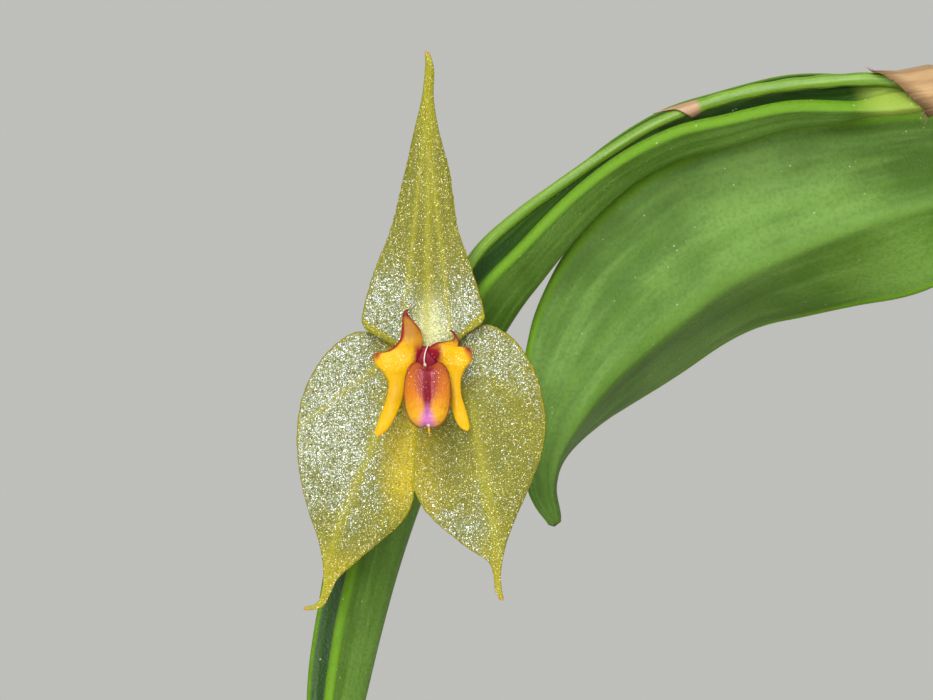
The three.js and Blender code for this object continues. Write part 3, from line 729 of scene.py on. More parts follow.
class ORCHID_OT_moss(Operator):
    """Fills the pot with sphagnum and grows its heads"""

    bl_idname = "orchid.moss"
    bl_label = "Sphagnum"

    def execute(self, context):
        moss = context.scene.orchid_moss
        top = inner_radius(MOSS_RIM_LEVEL) - GAP

        def row(t):
            if t <= TOP_ROWS:
                radius, level = top * t / TOP_ROWS, None
            elif t < WALL_ROWS:
                foot = POT_FLOOR + MOSS_FILLET
                level = MOSS_SHOULDER + (foot - MOSS_SHOULDER) * (t - TOP_ROWS) / (WALL_ROWS - TOP_ROWS)
                radius = inner_radius(level) - GAP
            else:
                level = POT_FLOOR + GAP
                radius = (inner_radius(POT_FLOOR) - MOSS_FILLET - GAP) * (1 - t) / (1 - WALL_ROWS)

            def at(u):
                angle = 2 * math.pi * u
                x, y = radius * math.cos(angle), radius * math.sin(angle)
                z = level
                if level is None:
                    fluff = noise.fractal(Vector((x * 0.9, y * 0.9, 3)), 1, 2, 3)
                    z = moss_height(x, y) + 0.5 * fluff
                return Vector((x, y, z)), Vector((u, t, 0))

            return at

        bed = wrapped_grid(96, 144, row)
        new_piece("sphagnum_bed", bed, moss_finish(moss, "Sphagnum bed", 0.35), ["moss"])

        rng = random.Random(11)
        head = moss.head / METRES
        heads = bmesh.new()
        feet = [shoot["foot"] for shoot in SHOOTS]
        golden = math.pi * (3 - math.sqrt(5))
        for i in range(moss.heads):
            radius = (top - 0.8) * math.sqrt((i + 0.5) / moss.heads)
            angle = golden * i + rng.uniform(-0.2, 0.2)
            x, y = radius * math.cos(angle), radius * math.sin(angle)
            if min(math.hypot(x - fx, y - fy) for fx, fy in feet) < HEAD_CLEARANCE:
                continue
            size = head * rng.uniform(0.55, 1.1)
            arms = []
            for tier, (count, lift, reach) in enumerate(HEAD_TIERS):
                for k in range(count):
                    turn = 2 * math.pi * (k + 0.5 * tier) / count + rng.uniform(-0.25, 0.25)
                    out = Vector((math.cos(turn), math.sin(turn), lift + rng.uniform(-0.2, 0.2)))
                    long = size * reach * rng.uniform(0.8, 1.15)
                    arms.append((Vector(), out, long, size * HEAD_ARM_WIDTH))
            tilt = Matrix.Rotation(rng.uniform(-0.5, 0.5), 4, "X")
            tilt @= Matrix.Rotation(rng.uniform(-0.5, 0.5), 4, "Y")
            height = moss_height(x, y) + rng.uniform(0.4, 1.1)
            gather(heads, hair_tuft(arms, 4), Matrix.Translation((x, y, height)) @ tilt)
        new_piece("sphagnum_heads", heads, moss_finish(moss, "Sphagnum heads", 0.7))
        return {"FINISHED"}


# Shoots: the first two leaves stand beside the flower, the others arch round the rest of the pot.
# A stem leaves the moss at its foot and leans out by its bow. A leaf opens across its side.
# Along each leaf go its half width, the share of it on the far side, its fold and its roll in degrees.
# Its grid has rows along it, and columns on its inner and its outer face.
SHOOTS = [
    {
        "foot": (-7, -3),
        "bow": (1.5, 0),
        "side": Vector((0, -1, 0)),
        "points": from_flower([
            (18.4, 5.2, 10.75), (16.8, 5.2, 10.55), (15.5, 5.4, 10.1), (13.3, 5.7, 9.85),
            (11, 6, 9.2), (9.2, 6.1, 8.7), (7.4, 6.2, 7.7), (5.6, 6.2, 6.05), (4.1, 6.2, 4.2),
            (2.9, 6.2, 2.55), (1, 6.1, -0.7), (-0.55, 5.8, -4.5), (-1.75, 5.4, -8.5),
            (-2.6, 5, -11.9), (-3.2, 4.7, -15), (-3.5, 4.5, -17.8),
        ]),
        "width": profile([
            (0, 0.5), (0.045, 0.55), (0.08, 0.95), (0.14, 1.4), (0.21, 1.75), (0.31, 1.8), (0.38, 2.1),
            (0.46, 2.55), (0.6, 2.7), (0.72, 2.65), (0.88, 1.7), (0.97, 0.62), (1, 0.08),
        ]),
        "far": profile([
            (0, 1), (0.025, 1.2), (0.05, 2.4), (0.08, 1.95), (0.14, 1.5), (0.24, 1.15), (0.34, 1.06),
            (0.39, 1.16), (0.46, 1.2), (0.54, 1.1), (0.66, 1), (1, 1),
        ]),
        "fold": profile([(0, 45), (0.38, 44), (0.46, 39), (0.72, 30), (1, 28)]),
        "roll": profile([(0, 14), (0.21, 15), (0.38, 10), (0.46, 12), (0.72, 18), (1, 19)]),
        "grid": (260, 56, 40),
    },
    {
        "foot": (0.5, 3.5),
        "bow": (2.5, 0),
        "side": Vector((0, -1, 0)),
        "points": from_flower([
            (28.5, 9, 9), (26.6, 8.9, 9), (23.6, 8.6, 8.5), (18.8, 8.2, 7.1), (15.6, 8, 6.1),
            (13.1, 8, 5.1), (10.6, 8, 3.75), (7.7, 7.8, 1.4), (6.3, 7.6, 0), (4.9, 7.4, -2),
            (4.5, 7.2, -3.4), (4.8, 7, -4.9),
        ]),
        "width": profile([
            (0, 0.25), (0.06, 0.3), (0.17, 1.9), (0.33, 3.4), (0.45, 4.3), (0.6, 5), (0.74, 4.5),
            (0.85, 2.7), (0.94, 0.95), (0.985, 0.4), (1, 0.08),
        ]),
        "fold": profile([(0, 40), (0.15, 68), (0.33, 75), (0.45, 66), (0.6, 57), (0.8, 54), (1, 42)]),
        "roll": profile([
            (0, -10), (0.15, -60), (0.33, -75), (0.45, -66), (0.6, -57), (0.8, -54), (1, -42),
        ]),
        "grid": (240, 60, 48),
    },
]

# foot, azimuth of the arch from +X, reach and height of the stem, start and end pitch of the leaf
# below the horizontal, its length, half width, fold and roll
ARCHES = [
    ((5.5, -3.5), -22, 15, 38, (4, 62), 37, 4.6, 58, -8),
    ((7.5, 3), 18, 13, 47, (-6, 48), 40, 4.9, 62, 10),
    ((4, 8), 62, 12, 40, (0, 58), 36, 4.4, 55, -12),
    ((0.5, -8.5), -68, 13, 27, (6, 66), 33, 4.2, 56, 12),
    ((-4.5, 8.5), 128, 14, 18, (4, 52), 28, 3.7, 60, 6),
    ((-11, -6.5), 196, 8, 13, (-14, 44), 24, 3.4, 57, -10),
    ((11.5, -1), -4, 9, 24, (-14, 50), 27, 3.6, 54, 16),
    ((-0.5, 12.5), 94, 9, 30, (-4, 56), 32, 4.1, 60, -6),
    ((6.5, -9.5), -44, 8, 16, (-16, 42), 25, 3.5, 55, 8),
    ((-6, -11), 236, 7, 16, (-10, 50), 26, 3.5, 58, 10),
]
STALK_HALF_WIDTH = [(0, 0.25), (0.06, 0.3)]
HALF_WIDTH_SHARE = [
    (0.2, 0.55), (0.36, 0.88), (0.54, 1), (0.74, 0.86), (0.9, 0.46), (0.98, 0.13), (1, 0.02),
]
ARCH_STEPS = 8


def arching_shoot(foot, azimuth, reach, height, pitch, length, half, fold, roll):
    """A shoot whose leaf arches outwards and down."""
    turn = math.radians(azimuth)
    outward = Vector((math.cos(turn), math.sin(turn), 0))
    points = [Vector((*foot, MOSS_TOP + height)) + outward * reach]
    for i in range(ARCH_STEPS):
        down = math.radians(pitch[0] + (pitch[1] - pitch[0]) * (i + 0.5) / ARCH_STEPS)
        step = outward * math.cos(down) - Vector((0, 0, math.sin(down)))
        points.append(points[-1] + step * length / ARCH_STEPS)
    shares = [(t, share * half) for t, share in HALF_WIDTH_SHARE]
    return {
        "foot": foot,
        "bow": (0.2 * reach * outward.x, 0.2 * reach * outward.y),
        "side": Vector((outward.y, -outward.x, 0)),
        "points": points,
        "width": profile(STALK_HALF_WIDTH + shares),
        "fold": lambda t: fold,
        "roll": lambda t: roll,
        "grid": (96, 30, 22),
    }


SHOOTS += [arching_shoot(*arch) for arch in ARCHES]


def leaf_frame(shoot, path, t):
    """The place of the keel, the direction of the open side and the direction across."""
    tangent = path.tangent(t)
    upright = tangent.cross(shoot["side"]).normalized()
    lateral = upright.cross(tangent).normalized()
    tilt = math.radians(shoot["roll"](t))
    opening = upright * math.cos(tilt) + lateral * math.sin(tilt)
    return path.at(t), opening, opening.cross(tangent)


NERVES = (0.3, 0.58, 0.82)
NERVE_WIDTH = 0.1
NERVE_DEPTH = 0.012
MARGIN_WIDTH = 0.15
MARGIN_RISE = 0.07
KEEL_WIDTH = 0.22
KEEL_RISE = 0.1
# The leaf's stalk, as a share of its length, and how much stouter it is behind
STALK_SHARE = 0.055
STALK_RISE = 0.36
LEAF_SWAY = 0.025
LEAF_RIPPLE = 0.07
LEAF_SPECK = (0.6, 0.64, 0.56)


def leaf_section(shoot, path, thickness, seed):
    def section(t):
        keel, opening, across = leaf_frame(shoot, path, t)
        origin = keel + opening * thickness / 2
        angle = math.radians(shoot["fold"](t))
        half = shoot["width"](t)
        far = shoot["far"](t) if "far" in shoot else 1
        # The blade bends round its keel up to here, and is straight beyond
        arc_end = KEEL_RADIUS * (math.pi / 2 - angle)
        broad = smooth(0.3, 1.2, half)
        stout = 1 - smooth(STALK_SHARE * 0.6, STALK_SHARE * 1.3, t)

        def at(q):
            sign = 1 if q >= 0 else -1
            sway = noise.noise(Vector((t * 14, sign * 5, seed)))
            run = abs(q) * half * (1 + LEAF_SWAY * broad * sway) * (far if q < 0 else 1)
            bend = min(run, arc_end) / KEEL_RADIUS
            straight = max(run - arc_end, 0)
            outward = across * sign
            out = KEEL_RADIUS * math.sin(bend) + straight * math.sin(angle)
            rise = KEEL_RADIUS * (1 - math.cos(bend)) + straight * math.cos(angle)
            facing = opening * math.cos(bend) - outward * math.sin(bend)
            ripple = LEAF_RIPPLE * broad * noise.noise(Vector((t * 9, q * 2.5, seed + 7)))
            edge = math.sqrt(max(1 - abs(q) ** 14, 0))
            rim = MARGIN_RISE * bell((1 - abs(q)) * half - 0.1, MARGIN_WIDTH) * broad
            nerves = sum(bell(run - share * half, NERVE_WIDTH) for share in NERVES)
            nerves *= NERVE_DEPTH * broad
            front = (thickness / 2 + rim - nerves) * edge
            keel_rise = KEEL_RISE * bell(run, KEEL_WIDTH) * broad
            back = (thickness / 2 + rim + nerves + keel_rise + STALK_RISE * stout) * edge
            middle = origin + outward * out + opening * rise + facing * ripple
            return middle, facing, front, back

        return at

    return section


def leaf_finish(leaf):
    finish = Finish("Leaf", 0.14, flesh=0.06, reach=0.0006)
    q, t, front = finish.readings()
    broad = finish.noise(0.16, 3)
    streak = finish.noise(1, 4, finish.joined(q * 9, t * 7, front))
    fine = finish.noise(7, 3)
    cells, pick = finish.cells(9)
    margin = q.size().smooth(0.88, 0.95)
    beads, _ = finish.cells(5)
    nerve = sum(((q.size() - share).bell(0.03) for share in NERVES), 0)
    keel = q.size().bell(0.07)
    outer = finish.layered(
        leaf.under,
        ((broad + streak * 0.3).smooth(0.5, 0.85) * 0.8, leaf.pale),
        (streak.smooth(0.5, 0.75) * 0.3, leaf.pale),
        (fine.smooth(0.4, 0.7) * 0.25, darker(leaf.under, 0.55)),
        (keel * 0.4, leaf.pale),
    )
    inner = finish.layered(
        leaf.face,
        (broad.smooth(0.4, 0.7) * 0.35, darker(leaf.face, 0.55)),
        (streak.smooth(0.5, 0.75) * 0.3, darker(leaf.margin, 0.8)),
        (keel * 0.4, leaf.margin),
    )
    specks = pick[0].smooth(0.985, 0.995) * cells.smooth(0.4, 0.2)
    colour = finish.layered(
        finish.mix(front, outer, inner),
        (nerve * 0.1, leaf.margin),
        (margin * (0.7 + beads * 0.3).clamped(), leaf.margin),
        (t.smooth(STALK_SHARE * 1.3, STALK_SHARE * 0.7) * 0.85, leaf.stalk),
        (specks * 0.3, LEAF_SPECK),
    )
    roughness = 0.38 + fine * 0.12 + margin * 0.1 + (1 - front) * 0.1
    return finish.wear(colour, roughness, fine * 0.5 + cells * 0.5, 0.02)


class ORCHID_OT_leaves(Operator):
    """Folds each leaf along its keel"""

    bl_idname = "orchid.leaves"
    bl_label = "Leaves"

    def execute(self, context):
        leaf = context.scene.orchid_leaf
        finish = leaf_finish(leaf)
        for i, shoot in enumerate(SHOOTS):
            along, front, back = shoot["grid"]
            section = leaf_section(shoot, Path(shoot["points"]), leaf.thickness / METRES, i)
            bm = blade(along, front, back, section, to_edges)
            new_piece(f"folded_leaf_{i + 1:02}", bm, finish, [f"leaf_{i + 1:02}"])
        return {"FINISHED"}


# Stems
RIBS = 9
RIB_HEIGHT = 0.05
PAPER = 0.05
SHEATH_STEPS = 14
BOW_STEPS = 7
# Radius, slant and point of a sheath's mouth
MOUTH = (1.08, 0.45, 0.9)
TOP_MOUTH = (0.93, -0.8, 0.35)
TOP_SHEATH_REACH = 0.9
MOUTH_HAIRS = 30
RIB_HAIRS = 5


def stem_path(shoot):
    """The route of a stem from the rhizome to the cup round its leaf's stalk."""
    leaf_path = Path(shoot["points"])
    keel, opening, _ = leaf_frame(shoot, leaf_path, 0)
    base = keel + opening * LEAF_SEAT
    ahead = leaf_path.tangent(0)
    foot = Vector((*shoot["foot"], STEM_FOOT_Z))
    length = (base - foot).length
    out = Vector((*shoot["foot"], MOSS_TOP + STEM_STRAIGHT))
    rise = [
        out,
        out + Vector((*shoot["bow"], 0.45 * length)),
        base - 0.3 * length * ahead,
        base - ahead,
    ]
    below = Vector((*shoot["foot"], MOSS_RIM_LEVEL))
    bow = [bezier(rise, i / BOW_STEPS) for i in range(BOW_STEPS + 1)]
    return Path([foot, below, *bow, base + 0.4 * ahead, base + CUP_LENGTH * ahead])


def sheath_rings(path):
    """Rings of a stem's sheaths, and how far along each mouth is, with its radius."""
    stop = path.length - CUP_LENGTH
    count = round((stop - STEM_BARE_FOOT) / SHEATH_LENGTH)
    step = (stop - STEM_BARE_FOOT) / count
    waist = SHEATH_RADIUS - SHEATH_WAIST
    rings = [(0, waist, 0, 0, 0), (STEM_BARE_FOOT, waist, 0, 0, 0)]
    mouths = []
    for i in range(count):
        start = STEM_BARE_FOOT + i * step
        last = i == count - 1
        reach = step + (TOP_SHEATH_REACH if last else 0)
        mouth, slant, point = TOP_MOUTH if last else MOUTH
        for k in range(1, SHEATH_STEPS + 1):
            s = k / SHEATH_STEPS
            swell = SHEATH_WAIST * smooth(0, 0.6, s) + (mouth - SHEATH_RADIUS) * smooth(0.66, 1, s) ** 1.3
            rings.append((start + s * reach, waist + swell, slant * s**4, point * s**6, s))
        mouths.append((start + reach, mouth, slant, point))
        inside = CUP_RADIUS - 0.02 if last else waist
        rings.append((start + reach - 0.04, mouth - PAPER, slant * 0.98, point * 0.9, 0.98))
        rings.append((start + reach - 0.35, (inside + mouth) / 2, slant * 0.8, point * 0.2, 0.8))
        rings.append((stop - GAP if last else start + reach - 0.7, inside, slant * 0.2, 0, 0.1))
    return rings, mouths


def ribbed(angle, ring):
    """The share of a sheath's radius at an angle, with its ribs."""
    s = ring[4]
    return 1 + RIB_HEIGHT * (0.4 + s) * (0.5 + 0.5 * math.cos(RIBS * angle)) if s else 1


def sheath_finish(stem):
    finish = Finish("Papery sheath", 0.3)
    around, along, s = finish.readings()
    rib = (around * (2 * math.pi * RIBS) + math.pi / 2).wave() * 0.5 + 0.5
    fibre = finish.noise(1, 4, finish.joined(around * 60, along * 0.8, 0))
    blotch = finish.noise(0.5, 3)
    colour = finish.layered(
        stem.paper,
        (s.smooth(0.5, 0) * 0.55, stem.green),
        (blotch.smooth(0.45, 0.7) * 0.4, darker(stem.paper, 0.62)),
        (rib**3 * 0.45, stem.nerve),
        (fibre.smooth(0.5, 0.75) * 0.4, stem.nerve),
        (s.smooth(0.93, 1) * 0.6, darker(stem.nerve, 0.7)),
    )
    return finish.wear(colour, 0.62 + fibre * 0.2, fibre + blotch * 0.4, 0.05)


class ORCHID_OT_stems(Operator):
    """Wraps each stem in papery sheaths with hairy, pointed mouths"""

    bl_idname = "orchid.stems"
    bl_label = "Sheathed stems"

    def execute(self, context):
        stem = context.scene.orchid_stem
        finish = sheath_finish(stem)
        bristle = mottled("Bristle", 0.5, 1.5, stem.nerve, darker(stem.paper, 0.7), 0.6)
        rng = random.Random(23)
        hair = stem.hair / METRES
        tufts = bmesh.new()
        for i, shoot in enumerate(SHOOTS):
            path = stem_path(shoot)
            rings, mouths = sheath_rings(path)
            bm = tube(path, rings, RIBS * 4, ribbed)
            name = f"sheathed_stem_{i + 1:02}"
            new_piece(name, bm, finish, [f"ramicaul_{i + 1:02}"])
            frames = path.frames()
            for place, radius, slant, point in mouths:
                hairs = []
                for k in range(MOUTH_HAIRS):
                    turn = 2 * math.pi * (k + rng.uniform(-0.3, 0.3)) / MOUTH_HAIRS
                    drawn = drawn_forward(slant, point, turn)
                    hairs.append((place, turn, radius * (1 + RIB_HEIGHT * 0.7), drawn, 0.9))
                for rib in range(RIBS):
                    for k in range(RIB_HAIRS):
                        turn = 2 * math.pi * rib / RIBS
                        back = rng.uniform(0.4, SHEATH_LENGTH * 0.8)
                        hairs.append((place - back, turn, SHEATH_RADIUS * 1.02, 0, 0.35))
                bristles = []
                for at_mm, turn, out_radius, drawn, lean in hairs:
                    share = at_mm / path.length
                    tangent, across, up = frames[round(min(share, 1) * (len(frames) - 1))]
                    out = across * math.cos(turn) + up * math.sin(turn)
                    root = path.at(share) + out * out_radius + tangent * drawn
                    direction = out + tangent * lean * rng.uniform(0.6, 1.4)
                    bristles.append((root, direction, hair * rng.uniform(0.5, 1.1), 0.02))
                gather(tufts, hair_tuft(bristles))
        new_piece("sheath_bristles", tufts, bristle)

        root = Finish("Rhizome and roots", 0.3)
        fibre = root.noise(1.2, 4)
        skin = root.layered(stem.root, (fibre.smooth(0.45, 0.7), darker(stem.root, 0.55)))
        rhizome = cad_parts["rhizome_roots"]
        rhizome.material_slots[0].material = root.wear(skin, 0.7, fibre, 0.1)
        return {"FINISHED"}


# Flower stalk
STALK_ROOT = from_flower([(17.6, 5.2, 11.45)])
STALK_POINTS = from_flower([
    (15.9, 5.2, 11.55), (13.7, 5.4, 11.4), (11.8, 5.6, 11.1), (10, 5.7, 10.6), (8.15, 5.8, 9.85),
    (6.3, 5.8, 8.7), (4.8, 5.6, 7.65), (3.35, 5.2, 6.6), (1.9, 4.5, 5.3), (0.95, 3.5, 3.8),
    (0.3, 2.5, 2.4), (0.02, 1.5, 1.2), (0, 0.55, 0.55),
])
OVARY_LENGTH = 1.3
BRACT_LENGTH = 0.7
STALK_RINGS = 40
BRACT_RINGS = 12
PEDICEL_RINGS = 96
OVARY_RIBS = 6


def stalk_finish(stalk, name, papery):
    """The flower stalk's green skin, which turns to dry paper on its bract."""
    finish = Finish(name, 0.4, flesh=0.1, reach=0.0004)
    around, along, s = finish.readings()
    lines = finish.noise(1, 3, finish.joined(around * 14, along * 0.25, 0))
    fine = finish.noise(9, 2)
    colour = finish.layered(
        stalk.green,
        (lines.smooth(0.4, 0.7) * 0.7, stalk.pale),
        (fine.smooth(0.5, 0.8) * 0.3, darker(stalk.green, 0.6)),
    )
    if papery:
        bract = finish.layered(stalk.bract, (lines.smooth(0.45, 0.7) * 0.6, darker(stalk.bract, 0.5)))
        colour = finish.mix(s.smooth(0.3, 0.5), colour, bract)
    return finish.wear(colour, 0.42 + fine * 0.15, lines + fine * 0.4, 0.02)


class ORCHID_OT_stalks(Operator):
    """Lays the flower stalk in its leaf and brings the pedicel to the flower"""

    bl_idname = "orchid.stalks"
    bl_label = "Flower stalk and pedicel"

    def execute(self, context):
        stalk = context.scene.orchid_stalk
        path = Path(STALK_ROOT + STALK_POINTS)
        in_leaf = Path(STALK_POINTS).length
        bract = path.length - (1 - BRACT_SHARE) * in_leaf
        foot = bract - BRACT_LENGTH / 2

        rings = []
        for k in range(STALK_RINGS):
            rings.append((foot * k / STALK_RINGS, STALK_RADIUS + 0.015 * math.sin(k * 0.9), 0, 0, 0))
        for k in range(BRACT_RINGS + 1):
            s = k / BRACT_RINGS
            radius = STALK_RADIUS + 0.02 + 0.07 * smooth(0, 1, s)
            rings.append((foot + s * 1.1 * BRACT_LENGTH, radius, -0.3 * s**2, 0.75 * s**3, 0.3 + 0.7 * s))
        rings.append((bract + 0.6 * BRACT_LENGTH - 0.03, STALK_RADIUS + 0.06, -0.28, 0.7, 1))
        rings.append((bract + 0.2, STALK_RADIUS + 0.06, -0.1, 0, 0.6))
        rings.append((bract, STALK_RADIUS + 0.04, 0, 0, 0.4))
        finish = stalk_finish(stalk, "Flower stalk and bract", True)
        new_piece("flower_stalk", tube(path, rings, 28), finish, ["peduncle"])

        start = bract + 0.2
        ovary = path.length - OVARY_LENGTH
        rings = []
        for k in range(PEDICEL_RINGS + 1):
            at_mm = start + (path.length - start) * k / PEDICEL_RINGS
            swell = 0.15 * smooth(ovary - 0.9, path.length - 0.5, at_mm)
            tip = 0.1 * smooth(path.length - 0.4, path.length, at_mm)
            rings.append((at_mm, STALK_RADIUS - 0.03 + swell - tip, 0, 0, swell))

        def furrowed(angle, ring):
            return 1 - 0.5 * ring[4] * (0.5 + 0.5 * math.cos(OVARY_RIBS * angle))

        bm = tube(path, rings, 36, furrowed)
        finish = stalk_finish(stalk, "Pedicel", False)
        new_piece("pedicel_and_ovary", bm, finish, ["pedicel_ovary"])
        return {"FINISHED"}


# Sepals and petals lie between two edges, given as (x, z) from the middle of the lip.
# A vein's x is a curve of z: start, slope and bend, then the vein's width.
LEFT_SEPAL_VEINS = ((-1.19, 0.478, 0.0128, 0.14), (-3.13, 1.306, 0, 0.16))
RIGHT_SEPAL_VEINS = ((1.306, -0.2735, -0.0116, 0.14),)
DORSAL_VEINS = ((-0.05, 0.01, 0, 0.09), (-1.15, 0.11, 0, 0.06), (1.05, -0.11, 0, 0.06))
LATERAL_DEPTH = 0.15
DORSAL_DEPTH = -0.84


def dorsal_depth(t, q):
    """How far behind the lip's middle the dorsal sepal lies: its sides lean back."""
    return DORSAL_DEPTH + 0.35 * t + 0.2 * q * q * (1 - t)


def lateral_depth(t, q):
    """How far behind the lip's middle a lateral sepal lies: its tail leans back."""
    return 0.06 * q * q * min(5 * t, 1) * (1 - t) + LATERAL_DEPTH * t * t


ORGANS = {
    "dorsal_sepal": {
        "left": [
            (-0.42, 1.15), (-1.3, 1.8), (-2.26, 2.4), (-2.28, 3.1), (-1.9, 4.45), (-1.3, 6), (-0.84, 7.9),
            (-0.5, 9.4), (-0.22, 10.6), (-0.1, 11.7), (-0.12, 12.25),
        ],
        "right": [
            (0.45, 1.15), (1.25, 2.05), (1.95, 2.6), (1.98, 3.1), (1.57, 4.5), (1.06, 6), (0.79, 7.9),
            (0.4, 9.4), (0.21, 10.6), (0.22, 11.6), (0.04, 12.27),
        ],
        "depth": dorsal_depth,
        "veins": DORSAL_VEINS,
    },
    "left_sepal": {
        "left": [
            (-0.4, 0.7), (-1.3, 1.82), (-2.3, 2.28), (-3.2, 1.9), (-3.97, 1.04), (-4.5, -0.12),
            (-4.69, -1.5), (-4.58, -2.85), (-4.28, -4.15), (-3.93, -5.16), (-3.75, -6.2), (-3.8, -7),
            (-4, -7.45), (-4.46, -7.58),
        ],
        "right": [
            (-0.2, 0.1), (-0.27, -0.46), (-0.34, -1.04), (-0.39, -1.55), (-0.44, -2.15), (-0.48, -2.85),
            (-0.53, -3.8), (-0.96, -4.58), (-1.8, -5.32), (-2.6, -6), (-3.2, -6.55), (-3.48, -7.08),
            (-3.78, -7.58), (-4.44, -7.72),
        ],
        "depth": lateral_depth,
        "veins": LEFT_SEPAL_VEINS,
    },
    "right_sepal": {
        "left": [
            (0.04, 0.1), (-0.2, -0.46), (-0.34, -0.96), (-0.42, -1.46), (-0.48, -2.04),
            (-0.52, -2.6), (-0.54, -3.3), (-0.08, -4.16), (0.64, -4.86), (1.5, -5.52),
            (2.14, -5.96), (2.33, -6.4), (2.39, -6.96), (2.57, -7.36),
        ],
        "right": [
            (0.34, 0.7), (1.14, 1.9), (1.95, 2.5), (2.77, 2.24), (3.46, 1.5), (3.96, 0.5),
            (4.21, -0.9), (4.05, -2.14), (3.62, -3.3), (3.15, -4.38), (2.79, -5.36), (2.61, -6.3),
            (2.63, -6.9), (2.73, -7.34),
        ],
        "depth": lateral_depth,
        "veins": RIGHT_SEPAL_VEINS,
    },
    "left_petal": {
        "left": [
            (-0.62, 3.08), (-0.76, 3.04), (-0.88, 2.9), (-0.9, 2.64), (-0.92, 2.35), (-1, 1.96),
            (-1.39, 1.6), (-1.86, 1.48), (-1.86, 1.14), (-1.6, 0.82), (-1.38, 0.46), (-1.46, -0.11),
            (-1.64, -0.64), (-1.82, -1.1), (-1.88, -1.43),
        ],
        "right": [
            (-0.61, 3.07), (-0.69, 3.01), (-0.7, 2.9), (-0.5, 2.62), (-0.27, 2.35), (-0.18, 2.02),
            (-0.2, 1.64), (-0.36, 1.28), (-0.6, 1), (-0.74, 0.68), (-0.82, 0.29), (-0.91, -0.18),
            (-1.07, -0.61), (-1.36, -1.14), (-1.74, -1.5),
        ],
    },
    "right_petal": {
        "left": [
            (0.74, 2.31), (0.84, 2.24), (0.93, 2.12), (0.9, 1.97), (0.62, 1.92), (0.3, 1.87),
            (0.08, 1.72), (0.02, 1.52), (0.3, 1.22), (0.55, 0.93), (0.72, 0.5), (0.78, -0.04),
            (0.86, -0.5), (1.04, -0.98), (1.32, -1.3),
        ],
        "right": [
            (0.75, 2.32), (0.9, 2.29), (1.04, 2.12), (1.11, 1.92), (1.12, 1.76), (1.22, 1.7),
            (1.48, 1.68), (1.58, 1.45), (1.54, 1.2), (1.32, 0.92), (1.18, 0.54), (1.19, 0.05),
            (1.32, -0.4), (1.44, -0.85), (1.52, -1.22),
        ],
    },
}
TOWARDS_VIEWER = Vector((0, -1, 0))
SEPAL_GRID = (290, 120, 40)
SEPAL_HALF = 0.09
SEPAL_END = 0.02
SEPAL_JAG = 0.03
SEPAL_SWELL = 0.16
VEIN_RISE = 0.03
VEIN_BLUR = 1.6
SEPALS_CUP = Vector((0, -0.22, 0.75))
SEPALS_CUP_HALF = Vector((0.72, 0.2, 0.9))
# Blue tint of some of the sepals' painted glints
BLUE_GLINT = (0.36, 0.46, 0.62)


def vein_offset(vein, x, z):
    """How far a place is from a vein, on the mesh or in a material."""
    start, slope, bend, _ = vein
    return x - (z * slope + z * z * bend + start)


def organ_blade(organ, grid, end_share, shape, spread=lambda s: s):
    """A blade between the two edges of an organ, rounded over the last share of its length.
    shape(middle, t, q, across) moves a place on it and returns the heights of its two faces."""
    left, right = (Path([(x, 0, z) for x, z in organ[side]]) for side in ("left", "right"))

    def section(t):
        a, b = left.by_point(t), right.by_point(t)
        past = max(t - (1 - end_share), 0) / end_share
        end = math.sqrt(max(1 - past * past, 0))

        def at(q):
            middle = a.lerp(b, (q * end + 1) / 2)
            front, back = shape(middle, t, q, b - a)
            return middle + FLOWER, TOWARDS_VIEWER, front, back

        return at

    return blade(*grid, section, spread)


def sepal_shape(organ, flower, seed):
    """The shape of a sepal with its veins and a dome on each surface cell."""

    cell = flower.cell / METRES
    height = flower.cell_height / METRES

    def shape(middle, t, q, across):
        width = across.length / 2
        jag = SEPAL_JAG * noise.noise(middle * 5 + Vector((0, seed, 0))) * smooth(0.2, 1, width)
        middle += across.normalized() * jag * q * abs(q)
        x, z = middle.x, middle.z
        veins = sum(bell(vein_offset(vein, x, z), vein[3]) for vein in organ["veins"])
        swell = SEPAL_SWELL * noise.noise(Vector((x * 0.5, seed, z * 0.5))) * min(width, 1)
        middle.y = organ["depth"](t, q) + swell * (1 - q * q)
        edge = math.sqrt(max(1 - abs(q) ** 10, 0))
        rim = smooth(0.03, 0.12, (1 - abs(q)) * width)
        dome = cell_dome(Vector((x, seed, z)), cell)
        front = SEPAL_HALF + height * dome * rim * (1 - 0.6 * min(veins, 1)) + VEIN_RISE * veins
        return front * edge, SEPAL_HALF * edge

    return shape


def dorsal_hem(x, z):
    """The plain hem along the two lower edges of the dorsal sepal."""
    return (z - 0.86 - x.size() * 0.805 - x * 0.125).smooth(0.42, 0.25)


def glints(finish, flat, cells_per_mm, share):
    """Small cells painted bright as highlights, of which about the given share shine, and random numbers
    for each one.
    """
    distance, pick = finish.cells(cells_per_mm, flat)
    lit = ((pick[0] - 1 + share) / (share * 0.8 + 0.02)).clamped()
    return lit * distance.smooth(0.5, 0.24), pick


